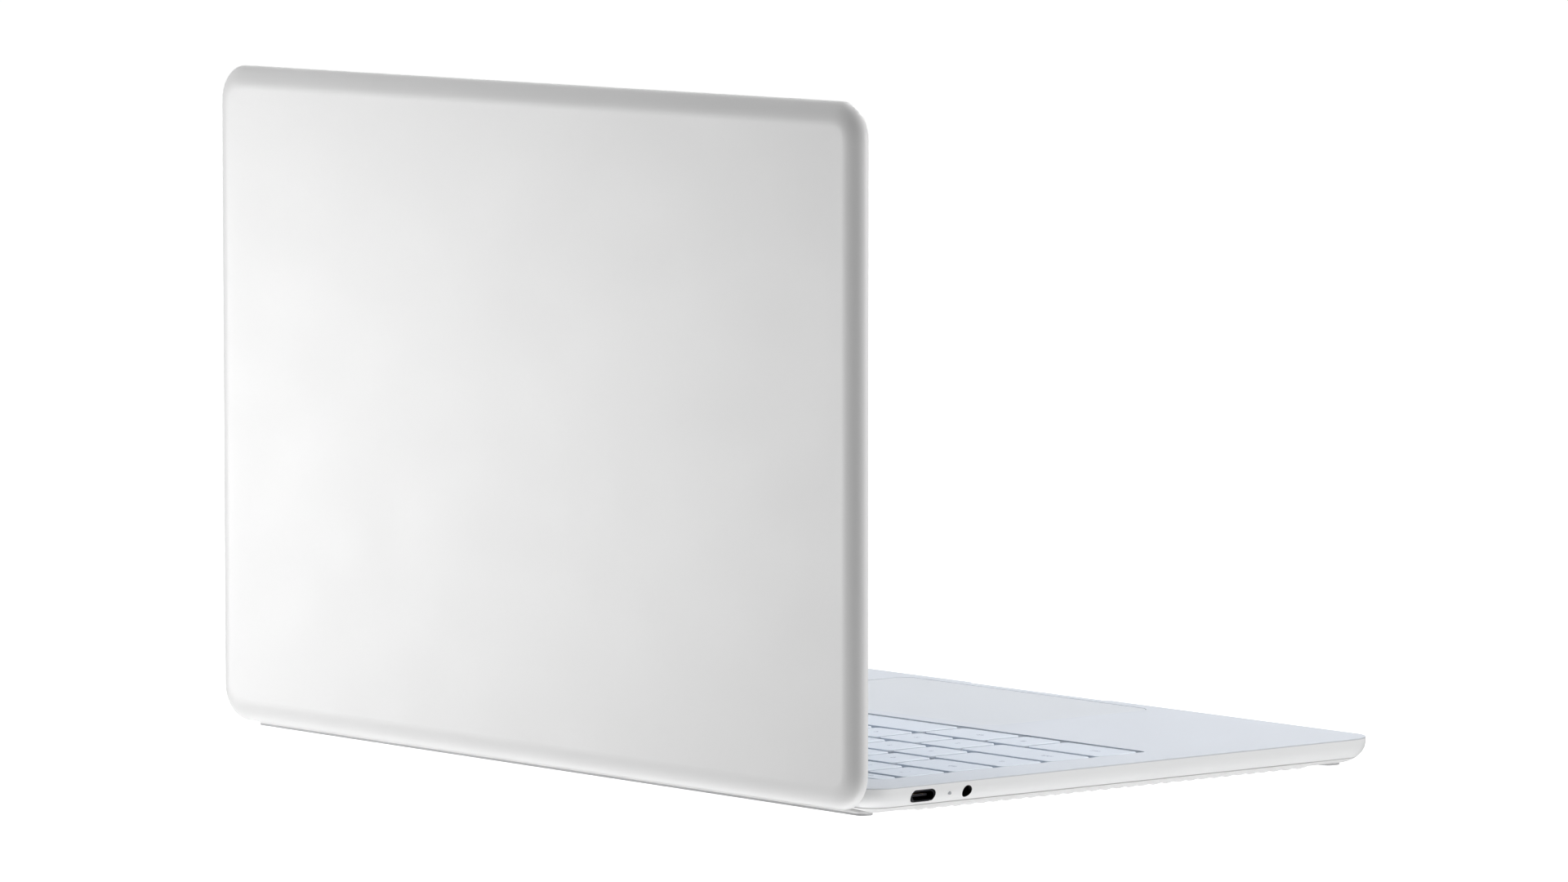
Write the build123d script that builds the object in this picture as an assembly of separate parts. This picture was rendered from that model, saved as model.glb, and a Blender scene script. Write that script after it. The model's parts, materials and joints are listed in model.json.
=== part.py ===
from build123d import *
import os
from math import cos, radians, sqrt

# A slim 13.3-inch laptop computer, modelled with its lid open.
# Frame: origin on the desk under the middle of the open laptop's box, +X to the
# user's right, +Y away from the user, +Z up. Every length is in millimetres.

# ---------------------------------------------------------------- overall sizes
WIDTH = 311.0
DEPTH = 206.3
FOOT_HEIGHT = 0.7
BASE_HEIGHT = 8.1
LID_THICKNESS = 4.1
LID_GAP = 0.5            # between the deck and the closed lid
LID_ANGLE = 90.0         # how far the lid stands open in the modelled pose
BASE_CORNER = 10.0
LID_CORNER = 11.0

# ---------------------------------------------------------------- base shell
EDGE_INSET = 9.0         # how far the rounded flank runs in under the base
EDGE_STRAIGHT = 1.3      # upright band between the deck and the rounded flank
CAVITY_STRAIGHT = 0.1    # the same band inside, under the deck
SIDE_WALL = 1.4
DECK_THICKNESS = 1.2
FLOOR_THICKNESS = 1.5
REAR_WALL = 1.2
PARTING_HEIGHT = 1.9     # parting line above the underside
PARTING_GAP = 0.12
THUMB_NOTCH_LENGTH = 68.8
THUMB_NOTCH_RADIUS = 3.0
THUMB_NOTCH_OUT = 1.2
THUMB_NOTCH_UP = 1.6

# ---------------------------------------------------------------- rippled underside and feet
RIPPLE_PITCH = 4.89
RIPPLE_DEPTH = 0.5
RIPPLE_FRONT_MARGIN = 25.0
RIPPLE_REAR_MARGIN = 17.0
FOOT_LENGTH = 295.0
FRONT_FOOT_WIDTH = 7.0
FRONT_FOOT_SETBACK = 7.15
REAR_FOOT_WIDTH = 5.4
REAR_FOOT_OVERHANG = 0.86  # the rear foot past the lower end of the rear slope
FOOT_RAIL_MARGIN = 0.3   # the cover's flat rail round each foot
FOOT_RAIL_HEIGHT = 1.1

# ---------------------------------------------------------------- hinge
HINGE_SETBACK = 4.5      # axis forward of the base's nominal rear edge
NOSE_RADIUS = 2.15       # rear of the deck, rounded about the hinge axis
REAR_SLOPE = 45.0        # rear wall below the nose, leaning forward
HINGE_SPACING = 200.0
KNUCKLE_RADIUS = 2.1
KNUCKLE_LENGTH = 12.0
PIN_RADIUS = 1.0
PIN_CLEARANCE = 0.05
PIN_HEAD_RADIUS = 1.7
PIN_HEAD_LENGTH = 0.6
WASHER_RADIUS = 1.9
WASHER_THICKNESS = 0.8
HINGE_SIDE_GAP = 0.15
HINGE_NOTCH_CLEARANCE = 0.6
ARM_FRONT = 2.1
ARM_REAR = 1.0
LEAF_THICKNESS = 1.1
LEAF_REACH = 12.0
BRACKET_THICKNESS = 1.2
BRACKET_REACH = 19.0

# ---------------------------------------------------------------- keyboard
KEY_PITCH = 19.05
KEY_GAP = 2.3
KEY_UNITS = 14.5
FULL_ROWS = 5
FUNCTION_CAP_DEPTH = 7.15
KEY_CORNER = 1.75
KEY_SLIT = 1.15          # between the two half-height arrow keys
KEY_THICKNESS = 1.8
KEY_RECESS = 0.1         # cap tops below the deck
KEY_TRAVEL = 1.2
KEY_LANDING = 0.2        # left under a pressed cap
WELL_MARGIN = 0.74       # around the grid of keys
WELL_FRONT_CORNER = 2.0
WELL_REAR_CORNER = 3.75
WELL_FRAME = 1.2
KEYBOARD_SETBACK = 19.95
MEMBRANE_THICKNESS = 0.2
KEY_PLATE_THICKNESS = 0.4
DOME_RADIUS = 2.4
DOME_TOP_RADIUS = 1.5
DOME_AIR = 0.1           # between a dome and its cap

# ---------------------------------------------------------------- trackpad
PAD_WIDTH = 118.0
PAD_DEPTH = 67.4
PAD_CORNER = 5.4
PAD_GAP = 0.3
PAD_FRONT_MARGIN = 5.65
PAD_RECESS = 0.1
PAD_GLASS = 0.8
PAD_BOARD = 0.8
PAD_BOARD_MARGIN = 3.0
PAD_AIR = 0.9            # between the pad's board and the bracket under it
PAD_BRACKET_THICKNESS = 0.5

# ---------------------------------------------------------------- ports on the flanks
PORT_SETBACK = 23.35     # USB-C centre forward of the nominal rear edge
PORT_WIDTH = 8.94
PORT_HEIGHT = 3.2
PORT_SHELL = 0.32
PORT_LENGTH = 7.6
PORT_CLEARANCE = 0.25
TONGUE_WIDTH = 6.7
TONGUE_THICKNESS = 0.7
TONGUE_LENGTH = 5.5
LIGHT_SETBACK = 33.45
LIGHT_RADIUS = 0.5
LIGHT_LENGTH = 5.0
LIGHT_INSET = 0.1        # its face, just inside the flank
JACK_SETBACK = 40.35
JACK_BORE_RADIUS = 1.75
JACK_INSET = 3.2         # the jack's face, seated in the flank's wall
JACK_DEPTH = 11.2
JACK_WIDTH = 6.2
JACK_WALL = 0.35
JACK_BACK_WALL = 0.7
JACK_SEAT_GAP = 0.1
PORT_INSET = 0.5         # the ports' mouths, behind the flank

# ---------------------------------------------------------------- boards, battery, speakers
BOARD_THICKNESS = 0.8
BOARD_STANDOFF = 0.85
BOARD_DEPTH = 46.0
BOARD_REAR_MARGIN = 15.0
CHIP_HEIGHT = 0.6
SPREADER_THICKNESS = 0.4
# Each chip: left edge, then gap to the board's rear edge, width and depth.
PROCESSOR = (-28, 8, 26, 24)
CHIPS = [PROCESSOR, (12, 20, 12, 12), (32, 20, 12, 12), (-75, 14, 18, 18), (84, 14, 22, 16)]
STANDOFF_RADIUS = 1.8
SCREW_RADIUS = 0.8
SCREW_HEAD_RADIUS = 1.5
SCREW_HEAD_HEIGHT = 0.6
COVER_SCREW_REACH = 3.0  # above the floor, into the top case's bosses
BOARD_SCREW_MARGIN = 4.0
BOARD_SCREW_SPACING = 60.0
SPREADER_MARGIN = 2.0    # the heat spreader past the chips it covers
SPREADER_CORNER = 2.0
CELL_THICKNESS = 3.4
CELL_DEPTH = 50.0
CELL_COUNT = 4
CELL_GAP = 2.0
CELL_CORNER = 1.5
BATTERY_SIDE_MARGIN = 16.0
BATTERY_BOARD_DEPTH = 7.0
SPEAKER_LENGTH = 62.0
SPEAKER_HEIGHT = 4.0
SPEAKER_CONE_DEPTH = 1.0
SPEAKER_CORNER = 1.0
SPEAKER_GAP = 0.5
SPEAKER_BOARD_GAP = 3.0
FIT_GAP = 0.3            # air round a loose-fitting inner piece
BOSS_RADIUS = 2.2

# ---------------------------------------------------------------- lid and display
LID_EDGE_INSET = 7.0
LID_EDGE_STRAIGHT = 0.5
LID_RIM = 1.6
LID_SKIN = 1.0
GASKET_WIDTH = 0.9
GASKET_STAND = 0.25
HINGE_STRIP_DEPTH = 7.4
HINGE_STRIP_THICKNESS = 1.0
GLASS_THICKNESS = 0.6
GLASS_HINGE_CORNER = 1.0
PANEL_WIDTH = 298.0
PANEL_DEPTH = 172.0
PANEL_THICKNESS = 2.0
PANEL_CHIN = 25.0        # panel's lower edge above the lid's lower edge
STRIP_PIECE_DEPTH = 5.0  # camera, microphones and aerials above the panel
STRIP_PIECE_HEIGHT = 1.5
STRIP_PIECE_MARGIN = 1.0
CAMERA_WIDTH = 12.0
CAMERA_LENS_RADIUS = 1.3
MICROPHONE_WIDTH = 4.0
MICROPHONE_SPACING = 48.0
AERIAL_WIDTH = 42.0
AERIAL_SPACING = 170.0
MAGNET_WIDTH = 18.0
MAGNET_SPACING = 260.0
DISPLAY_BOARD_WIDTH = 150.0
DISPLAY_BOARD_DEPTH = 11.0
DISPLAY_BOARD_THICKNESS = 0.8

# ---------------------------------------------------------------- levels and edges worked out
lid_inner_offset = NOSE_RADIUS + LID_GAP          # axis to the lid's inner plane
open_depth = DEPTH - HINGE_SETBACK + lid_inner_offset + LID_THICKNESS
front_y = -open_depth / 2
rear_y = front_y + DEPTH
hinge_y = rear_y - HINGE_SETBACK
underside_z = FOOT_HEIGHT
floor_z = underside_z + FLOOR_THICKNESS
parting_z = underside_z + PARTING_HEIGHT
deck_z = underside_z + BASE_HEIGHT
deck_under_z = deck_z - DECK_THICKNESS
hinge_z = deck_z - NOSE_RADIUS
hinge_axis = Axis((0, hinge_y, hinge_z), (1, 0, 0))

key_top_z = deck_z - KEY_RECESS
key_bottom_z = key_top_z - KEY_THICKNESS
membrane_top_z = key_bottom_z - KEY_TRAVEL - KEY_LANDING
plate_top_z = membrane_top_z - MEMBRANE_THICKNESS
plate_bottom_z = plate_top_z - KEY_PLATE_THICKNESS
well_half_x = KEY_UNITS * KEY_PITCH / 2 + WELL_MARGIN
well_rear_y = rear_y - KEYBOARD_SETBACK
function_row_depth = FUNCTION_CAP_DEPTH + KEY_GAP
well_depth = FULL_ROWS * KEY_PITCH + function_row_depth + 2 * WELL_MARGIN
well_front_y = well_rear_y - well_depth

pad_front_y = front_y + PAD_FRONT_MARGIN
pad_rear_y = pad_front_y + PAD_DEPTH
pad_top_z = deck_z - PAD_RECESS
pad_glass_z = pad_top_z - PAD_GLASS
pad_board_z = pad_glass_z - PAD_BOARD
pad_bracket_z = pad_board_z - PAD_AIR

board_z = floor_z + BOARD_STANDOFF
board_top_z = board_z + BOARD_THICKNESS
board_rear_y = rear_y - BOARD_REAR_MARGIN
port_z = board_top_z + PORT_HEIGHT / 2
port_y = rear_y - PORT_SETBACK
light_y = rear_y - LIGHT_SETBACK
jack_y = rear_y - JACK_SETBACK
jack_x = -WIDTH / 2 + JACK_INSET
front_foot_y = front_y + FRONT_FOOT_SETBACK
slope_foot_y = hinge_y + NOSE_RADIUS / cos(radians(REAR_SLOPE)) - (hinge_z - underside_z)
rear_foot_y = slope_foot_y + REAR_FOOT_OVERHANG - REAR_FOOT_WIDTH
screw_tip_z = floor_z + COVER_SCREW_REACH
leaf_screw_tip_z = deck_under_z + DECK_THICKNESS / 2
battery_front_y = front_foot_y + FRONT_FOOT_WIDTH / 2 + 2 * BOSS_RADIUS

lid_inner_z = deck_z + LID_GAP                          # lid described closed, then opened
lid_outer_z = lid_inner_z + LID_THICKNESS
lid_pocket_z = lid_outer_z - LID_SKIN
lid_glass_z = lid_inner_z + GLASS_THICKNESS
lid_panel_z = lid_glass_z + PANEL_THICKNESS


# ---------------------------------------------------------------- helpers
def block(x0, x1, y0, y1, z0, z1):
    """A box between two opposite corners."""
    box = Box(x1 - x0, y1 - y0, z1 - z0, align=(Align.MIN, Align.MIN, Align.MIN))
    return Pos(x0, y0, z0) * box


def plate(x0, x1, y0, y1, z0, z1, front_corner, rear_corner=None):
    """An upright prism on a rounded rectangle, with its own radius front and rear."""
    outline = Rectangle(x1 - x0, y1 - y0)
    outline = fillet(outline.vertices().group_by(Axis.Y)[0], front_corner)
    outline = fillet(outline.vertices().group_by(Axis.Y)[-1], rear_corner or front_corner)
    return Pos((x0 + x1) / 2, (y0 + y1) / 2, z0) * extrude(outline, z1 - z0)


def disc(x, y, z0, z1, radius):
    """An upright cylinder."""
    centred = (Align.CENTER, Align.CENTER, Align.MIN)
    return Pos(x, y, z0) * Cylinder(radius, z1 - z0, align=centred)


def rod(x0, x1, y, z, radius):
    """A cylinder along X."""
    centred = (Align.CENTER, Align.CENTER, Align.MIN)
    return Pos(x0, y, z) * Rot(0, 90, 0) * Cylinder(radius, x1 - x0, align=centred)


def stadium_along_x(x0, x1, y, z, width, height):
    """A rounded slot section in YZ, pushed along X."""
    face = Plane(origin=(x0, y, z), x_dir=(0, 1, 0), z_dir=(1, 0, 0)) * SlotOverall(width, height)
    return extrude(face, x1 - x0)


def prism_along_x(points, half_length):
    """A polygon of (y, z) points pushed along X, to the same length both ways."""
    face = Plane.YZ * make_face(Polyline(*points, close=True))
    return extrude(face, half_length, both=True)


def rim_section(corner, inset, open_z, closed_z, straight):
    """Half section of a pan in the XZ plane, from the corner's centre out to the rim."""
    way = 1 if closed_z > open_z else -1
    turn_z = open_z + way * straight
    flat = corner - inset
    start = 0 if way > 0 else 270
    curve = EllipticalCenterArc((flat, turn_z), inset, abs(closed_z - turn_z), start, arc_size=90)
    sides = Polyline((corner, turn_z), (corner, open_z), (0, open_z), (0, closed_z), (flat, closed_z))
    return Plane.XZ * make_face(Curve() + [curve, sides])


def pan(half_x, y0, y1, corner, inset, open_z, closed_z, straight):
    """A solid rounded slab whose edge turns in to the closed side by a quarter ellipse."""
    section = rim_section(corner, inset, open_z, closed_z, straight)
    half_core = half_x - corner
    core_y0, core_y1 = y0 + corner, y1 - corner
    quarter = revolve(section, Axis.Z, 90)
    side = extrude(section, core_y1 - core_y0, dir=(0, 1, 0))
    end = extrude(section, 2 * half_core, dir=(0, 1, 0))
    low, high = min(open_z, closed_z), max(open_z, closed_z)
    pieces = [
        Pos(half_core, core_y0, 0) * side,
        Pos(half_core, core_y1, 0) * quarter,
        Pos(half_core, core_y1, 0) * Rot(0, 0, 90) * end,
        Pos(-half_core, core_y1, 0) * Rot(0, 0, 90) * quarter,
        Pos(-half_core, core_y1, 0) * Rot(0, 0, 180) * side,
        Pos(-half_core, core_y0, 0) * Rot(0, 0, 180) * quarter,
        Pos(-half_core, core_y0, 0) * Rot(0, 0, 270) * end,
        Pos(half_core, core_y0, 0) * Rot(0, 0, 270) * quarter,
    ]
    return block(-half_core, half_core, core_y0, core_y1, low, high) + pieces


def both_sides(make):
    """The left and right copies of a piece that make(side) draws at side -1 or 1."""
    return [make(side) for side in (-1, 1)]


def span(side, near, far):
    """X limits of a piece between two distances from the middle, on one side."""
    return sorted((side * near, side * far))


def opened(piece):
    """Turn a piece of the closed lid about the hinge to the modelled lid angle."""
    return piece.rotate(hinge_axis, -LID_ANGLE)


def screw(x, y, head_z, up, length):
    """A pan-head screw: its head sits on head_z and its shank points up or down."""
    way = 1 if up else -1
    head = sorted((head_z, head_z - way * SCREW_HEAD_HEIGHT))
    shank = sorted((head_z, head_z + way * length))
    return disc(x, y, *head, SCREW_HEAD_RADIUS) + disc(x, y, *shank, SCREW_RADIUS)


def shank_hole(x, y, z0, z1):
    """The hole that a screw's shank fills."""
    return disc(x, y, z0, z1, SCREW_RADIUS)


# ---------------------------------------------------------------- base shell
def rear_profile(drop, wall, slope_wall):
    """(y, z) outline of the base seen from its side; wall and slope_wall shrink its rear."""
    lean = radians(REAR_SLOPE)
    slope_offset = (NOSE_RADIUS - slope_wall) / cos(lean)
    low_z = underside_z - hinge_z
    nose_y = NOSE_RADIUS - wall
    slope_top = (nose_y, nose_y - slope_offset)
    slope_foot = (low_z + slope_offset, low_z)
    outline = [(front_y - hinge_y, low_z), slope_foot, slope_top, (nose_y, drop)]
    outline.append((front_y - hinge_y, drop))
    return [(y + hinge_y, z + hinge_z) for y, z in outline]


def base_envelope():
    """The base's outer volume: a pan whose rear rolls over the hinge axis."""
    inset = min(EDGE_INSET, BASE_CORNER - SIDE_WALL / 2)
    nose_end_y = hinge_y + NOSE_RADIUS
    slab = pan(WIDTH / 2, front_y, nose_end_y, BASE_CORNER, inset, deck_z, underside_z, EDGE_STRAIGHT)
    slab &= prism_along_x(rear_profile(NOSE_RADIUS, 0, 0), WIDTH / 2)
    over_nose = block(-WIDTH, WIDTH, hinge_y, rear_y, hinge_z, deck_z + 1)
    return slab - (over_nose - rod(-WIDTH, WIDTH, hinge_y, hinge_z, NOSE_RADIUS))


def base_cavity():
    """The hollow inside the base, one wall thickness inside its outer volume."""
    corner = BASE_CORNER - SIDE_WALL
    inset = min(EDGE_INSET, BASE_CORNER - SIDE_WALL / 2) - SIDE_WALL
    half_x = WIDTH / 2 - SIDE_WALL
    rear = hinge_y + NOSE_RADIUS - SIDE_WALL
    slab = pan(half_x, front_y + SIDE_WALL, rear, corner, inset, deck_under_z, floor_z, CAVITY_STRAIGHT)
    profile = rear_profile(deck_under_z - hinge_z, NOSE_RADIUS + REAR_WALL / 2, REAR_WALL)
    return slab & prism_along_x(profile, WIDTH / 2)


def ripple_cutter():
    """Tangent arcs along Y: a wave cut into the underside from its lowest level up."""
    start = front_y + RIPPLE_FRONT_MARGIN
    count = int((rear_y - RIPPLE_REAR_MARGIN - start) / RIPPLE_PITCH)
    middle = underside_z + RIPPLE_DEPTH / 2
    half, quarter = RIPPLE_PITCH / 2, RIPPLE_PITCH / 4
    radius = quarter * quarter / RIPPLE_DEPTH + RIPPLE_DEPTH / 4
    lift = radius - sqrt(radius * radius - quarter * quarter / 4)
    wave = []
    for n in range(count):
        y = start + n * RIPPLE_PITCH
        rise_end, fall_start = (y + quarter, middle), (y + half + quarter, middle)
        rise = (y + quarter / 2, underside_z + lift)
        wave.append(ThreePointArc((y, underside_z), rise, rise_end))
        crown = (y + half, underside_z + RIPPLE_DEPTH)
        wave.append(ThreePointArc(rise_end, crown, fall_start))
        fall = (y + RIPPLE_PITCH - quarter / 2, underside_z + lift)
        wave.append(ThreePointArc(fall_start, fall, (y + RIPPLE_PITCH, underside_z)))
    wave.append(Line((start + count * RIPPLE_PITCH, underside_z), (start, underside_z)))
    face = Plane.YZ * make_face(Curve() + wave)
    return extrude(face, WIDTH / 2, both=True)


def cover_screw_places():
    """(x, y) of the screws that hold the bottom cover, hidden under the two feet."""
    front = front_foot_y + FRONT_FOOT_WIDTH / 2
    rear = rear_foot_y + REAR_FOOT_WIDTH / 2
    outer = FOOT_LENGTH / 2 - 3 * BOSS_RADIUS
    inner = PAD_WIDTH / 2 + 5 * BOSS_RADIUS
    return [(s * x, y) for y in (front, rear) for x in (inner, outer) for s in (-1, 1)]


def hinge_notch(side):
    """The gap in the base's rear that one hinge works in."""
    centre = side * HINGE_SPACING / 2
    reach = KNUCKLE_LENGTH + WASHER_THICKNESS / 2 + HINGE_SIDE_GAP + PIN_HEAD_LENGTH
    half = reach + HINGE_NOTCH_CLEARANCE
    depth = KNUCKLE_RADIUS + HINGE_NOTCH_CLEARANCE
    return block(centre - half, centre + half, hinge_y - depth, rear_y, hinge_z - depth, deck_z + 1)


def well_block(z0, z1, grow=0.0):
    """The keyboard well's outline as a solid, grown outwards all round."""
    half = well_half_x + grow
    corners = (WELL_FRONT_CORNER + grow, WELL_REAR_CORNER + grow)
    return plate(-half, half, well_front_y - grow, well_rear_y + grow, z0, z1, *corners)


def pad_block(z0, z1, grow=0.0):
    """The trackpad's outline as a solid, grown outwards all round."""
    half = PAD_WIDTH / 2 + grow
    return plate(-half, half, pad_front_y - grow, pad_rear_y + grow, z0, z1, PAD_CORNER + grow)


def thumb_notch():
    """The scoop in the middle of the front edge for opening the lid."""
    half = THUMB_NOTCH_LENGTH / 2 - THUMB_NOTCH_RADIUS
    y, z = front_y - THUMB_NOTCH_OUT, deck_z + THUMB_NOTCH_UP
    ends = [Pos(side * half, y, z) * Sphere(THUMB_NOTCH_RADIUS) for side in (-1, 1)]
    return rod(-half, half, y, z, THUMB_NOTCH_RADIUS) + ends


def flank_openings():
    """Holes through the flanks for the ports, the jack and the status lights."""
    wall = EDGE_INSET + SIDE_WALL
    width, height = PORT_WIDTH + 2 * PORT_CLEARANCE, PORT_HEIGHT + 2 * PORT_CLEARANCE
    cuts = []
    for side in (-1, 1):
        x0, x1 = span(side, WIDTH / 2 - wall, WIDTH / 2 + 1)
        cuts.append(stadium_along_x(x0, x1, port_y, port_z, width, height))
        cuts.append(rod(x0, x1, light_y, port_z, LIGHT_RADIUS))
    inside_x = wall - WIDTH / 2
    cuts.append(rod(-WIDTH / 2 - 1, inside_x, jack_y, port_z, JACK_BORE_RADIUS))
    half = JACK_WIDTH / 2 + JACK_SEAT_GAP
    low = port_z - JACK_BORE_RADIUS - JACK_WALL - JACK_SEAT_GAP
    cuts.append(block(jack_x, inside_x, jack_y - half, jack_y + half, low, deck_under_z))
    return cuts


def hinge_leaf_holes(side):
    """Places of the two screws that hold one hinge leaf under the deck."""
    y = hinge_y - KNUCKLE_RADIUS - LEAF_REACH / 2
    outer = side * (HINGE_SPACING / 2 + KNUCKLE_LENGTH - 2 * SCREW_HEAD_RADIUS)
    inner = side * (HINGE_SPACING / 2 + 2 * SCREW_HEAD_RADIUS)
    return [(outer, y), (inner, y)]


def make_top_case(envelope, cavity):
    """Deck, flanks and rear in one shell, with the well frame and the screw bosses."""
    shell = envelope - block(-WIDTH, WIDTH, front_y - 1, rear_y, 0, parting_z + PARTING_GAP / 2)
    shell -= cavity
    shell += well_block(plate_top_z, deck_under_z, WELL_FRAME)
    shell -= well_block(plate_top_z - 1, deck_z + 1)
    shell -= pad_block(deck_under_z - 1, deck_z + 1, PAD_GAP)
    shell += [cavity & disc(x, y, floor_z, deck_under_z, BOSS_RADIUS) for x, y in cover_screw_places()]
    shell -= [shank_hole(x, y, floor_z - 1, screw_tip_z) for x, y in cover_screw_places()]
    shell -= both_sides(hinge_notch)
    shell -= flank_openings() + [thumb_notch()]
    tips = [place for side in (-1, 1) for place in hinge_leaf_holes(side)]
    return shell - [shank_hole(x, y, deck_under_z - 1, leaf_screw_tip_z) for x, y in tips]


def make_bottom_cover(envelope, cavity):
    """The rippled underside with its rim, screw seats and board standoffs."""
    above = block(-WIDTH, WIDTH, front_y - 1, rear_y, parting_z - PARTING_GAP / 2, deck_z + 1)
    cover = envelope - above - cavity - ripple_cutter() + foot_rails()
    cover += [disc(x, y, floor_z, board_z, STANDOFF_RADIUS) for x, y in board_screw_places()]
    cover -= [shank_hole(x, y, floor_z, board_z) for x, y in board_screw_places()]
    for x, y in cover_screw_places():
        cover -= disc(x, y, 0, underside_z + SCREW_HEAD_HEIGHT, SCREW_HEAD_RADIUS)
        cover -= shank_hole(x, y, 0, floor_z + 1)
    return cover


def foot_strip(y0, width, margin, z0, z1):
    """A long strip with rounded ends, grown all round by a margin."""
    outline = SlotOverall(FOOT_LENGTH + 2 * margin, width + 2 * margin)
    return Pos(0, y0 + width / 2, z0) * extrude(outline, z1 - z0)


def foot_rails():
    """The flat rails of the cover that the feet are glued under."""
    levels = (FOOT_RAIL_MARGIN, underside_z, underside_z + FOOT_RAIL_HEIGHT)
    return [
        foot_strip(front_foot_y, FRONT_FOOT_WIDTH, *levels),
        foot_strip(rear_foot_y, REAR_FOOT_WIDTH, *levels),
    ]


# ---------------------------------------------------------------- inside the base
def board_screw_places():
    """(x, y) of the mainboard's screws, clear of the ports and the chips."""
    front = board_rear_y - BOARD_DEPTH + BOARD_SCREW_MARGIN
    rear = board_rear_y - BOARD_SCREW_MARGIN
    columns = [n * BOARD_SCREW_SPACING for n in (-2, -1, 1, 2)]
    return [(x, y) for x in columns for y in (front, rear)]


def make_mainboard():
    """The circuit board with its main chips, and a bay for the jack."""
    half = WIDTH / 2 - EDGE_INSET
    board = block(-half, half, board_rear_y - BOARD_DEPTH, board_rear_y, board_z, board_top_z)
    for x, gap, width, depth in CHIPS:
        y1 = board_rear_y - gap
        board += block(x, x + width, y1 - depth, y1, board_top_z, board_top_z + CHIP_HEIGHT)
    bay_x = jack_x + JACK_DEPTH + JACK_BACK_WALL + FIT_GAP
    bay_half = JACK_WIDTH / 2 + FIT_GAP
    board -= block(-WIDTH, bay_x, jack_y - bay_half, jack_y + bay_half, board_z - 1, board_top_z + 1)
    return board - [shank_hole(x, y, board_z - 1, board_top_z + 1) for x, y in board_screw_places()]


def make_board_screws():
    """Eight screws down into the cover's standoffs."""
    length = board_top_z - floor_z
    return Compound([screw(x, y, board_top_z, False, length) for x, y in board_screw_places()])


def make_heat_spreader():
    """A copper plate over the processor."""
    z = board_top_z + CHIP_HEIGHT
    x, gap, width, depth = PROCESSOR
    y1 = board_rear_y - gap + SPREADER_MARGIN
    y0 = y1 - depth - 2 * SPREADER_MARGIN
    x0, x1 = x - SPREADER_MARGIN, x + width + SPREADER_MARGIN
    return plate(x0, x1, y0, y1, z, z + SPREADER_THICKNESS, SPREADER_CORNER)


def make_battery_cells():
    """Four pouch cells side by side on the floor behind the front edge."""
    half = WIDTH / 2 - BATTERY_SIDE_MARGIN
    width = (2 * half - (CELL_COUNT - 1) * CELL_GAP) / CELL_COUNT
    cells = []
    for n in range(CELL_COUNT):
        x = -half + n * (width + CELL_GAP)
        y = battery_front_y
        cells.append(plate(x, x + width, y, y + CELL_DEPTH, floor_z, floor_z + CELL_THICKNESS, CELL_CORNER))
    return Compound(cells)


def make_battery_board():
    """The protection board along the rear of the cells."""
    half = WIDTH / 2 - BATTERY_SIDE_MARGIN
    y = battery_front_y + CELL_DEPTH
    return block(-half, half, y, y + BATTERY_BOARD_DEPTH, floor_z, floor_z + BOARD_THICKNESS)


def make_speaker(side):
    """A speaker box on the floor, beside the keyboard well."""
    near = well_half_x + WELL_FRAME + SPEAKER_GAP
    far = WIDTH / 2 - EDGE_INSET
    x0, x1 = span(side, near, far)
    y = board_rear_y - BOARD_DEPTH - SPEAKER_BOARD_GAP - SPEAKER_LENGTH
    box = plate(x0, x1, y, y + SPEAKER_LENGTH, floor_z, floor_z + SPEAKER_HEIGHT, SPEAKER_CORNER)
    top = floor_z + SPEAKER_HEIGHT
    radius = (x1 - x0) / 3
    cone = disc((x0 + x1) / 2, y + SPEAKER_LENGTH / 2, top - SPEAKER_CONE_DEPTH, top, radius)
    return box - cone


def make_port(side):
    """A USB-C receptacle: a rounded metal shell with its contact tongue."""
    mouth = WIDTH / 2 - PORT_INSET
    x0, x1 = span(side, mouth - PORT_LENGTH, mouth)
    shell = stadium_along_x(x0, x1, port_y, port_z, PORT_WIDTH, PORT_HEIGHT)
    hollow = (PORT_WIDTH - 2 * PORT_SHELL, PORT_HEIGHT - 2 * PORT_SHELL)
    x0, x1 = span(side, mouth - PORT_LENGTH + PORT_SHELL, mouth + 1)
    shell -= stadium_along_x(x0, x1, port_y, port_z, *hollow)
    x0, x1 = span(side, mouth - PORT_LENGTH, mouth - PORT_LENGTH + TONGUE_LENGTH)
    half_y, half_z = TONGUE_WIDTH / 2, TONGUE_THICKNESS / 2
    return shell + block(x0, x1, port_y - half_y, port_y + half_y, port_z - half_z, port_z + half_z)


def make_jack():
    """The headphone jack: a block with a plain bore, open at the left flank."""
    x0 = jack_x
    x1 = x0 + JACK_DEPTH + JACK_BACK_WALL
    low = port_z - JACK_BORE_RADIUS - JACK_WALL
    high = port_z + JACK_BORE_RADIUS + JACK_WALL
    body = block(x0, x1, jack_y - JACK_WIDTH / 2, jack_y + JACK_WIDTH / 2, low, high)
    return body - rod(x0 - 1, x0 + JACK_DEPTH, jack_y, port_z, JACK_BORE_RADIUS)


def make_status_light(side):
    """A clear light pipe that fills its hole in the flank."""
    x0, x1 = span(side, WIDTH / 2 - LIGHT_LENGTH, WIDTH / 2 - LIGHT_INSET)
    return rod(x0, x1, light_y, port_z, LIGHT_RADIUS)


def make_cover_screws():
    """Eight screws up through the bottom cover into the top case."""
    seat = underside_z + SCREW_HEAD_HEIGHT
    length = screw_tip_z - seat
    return Compound([screw(x, y, seat, True, length) for x, y in cover_screw_places()])


# ---------------------------------------------------------------- keyboard
def key_cap(x0, x1, y0, y1):
    """One flat key cap with rounded corners."""
    corner = min(KEY_CORNER, (y1 - y0) / 3)
    return plate(x0, x1, y0, y1, key_bottom_z, key_top_z, corner)


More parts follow.
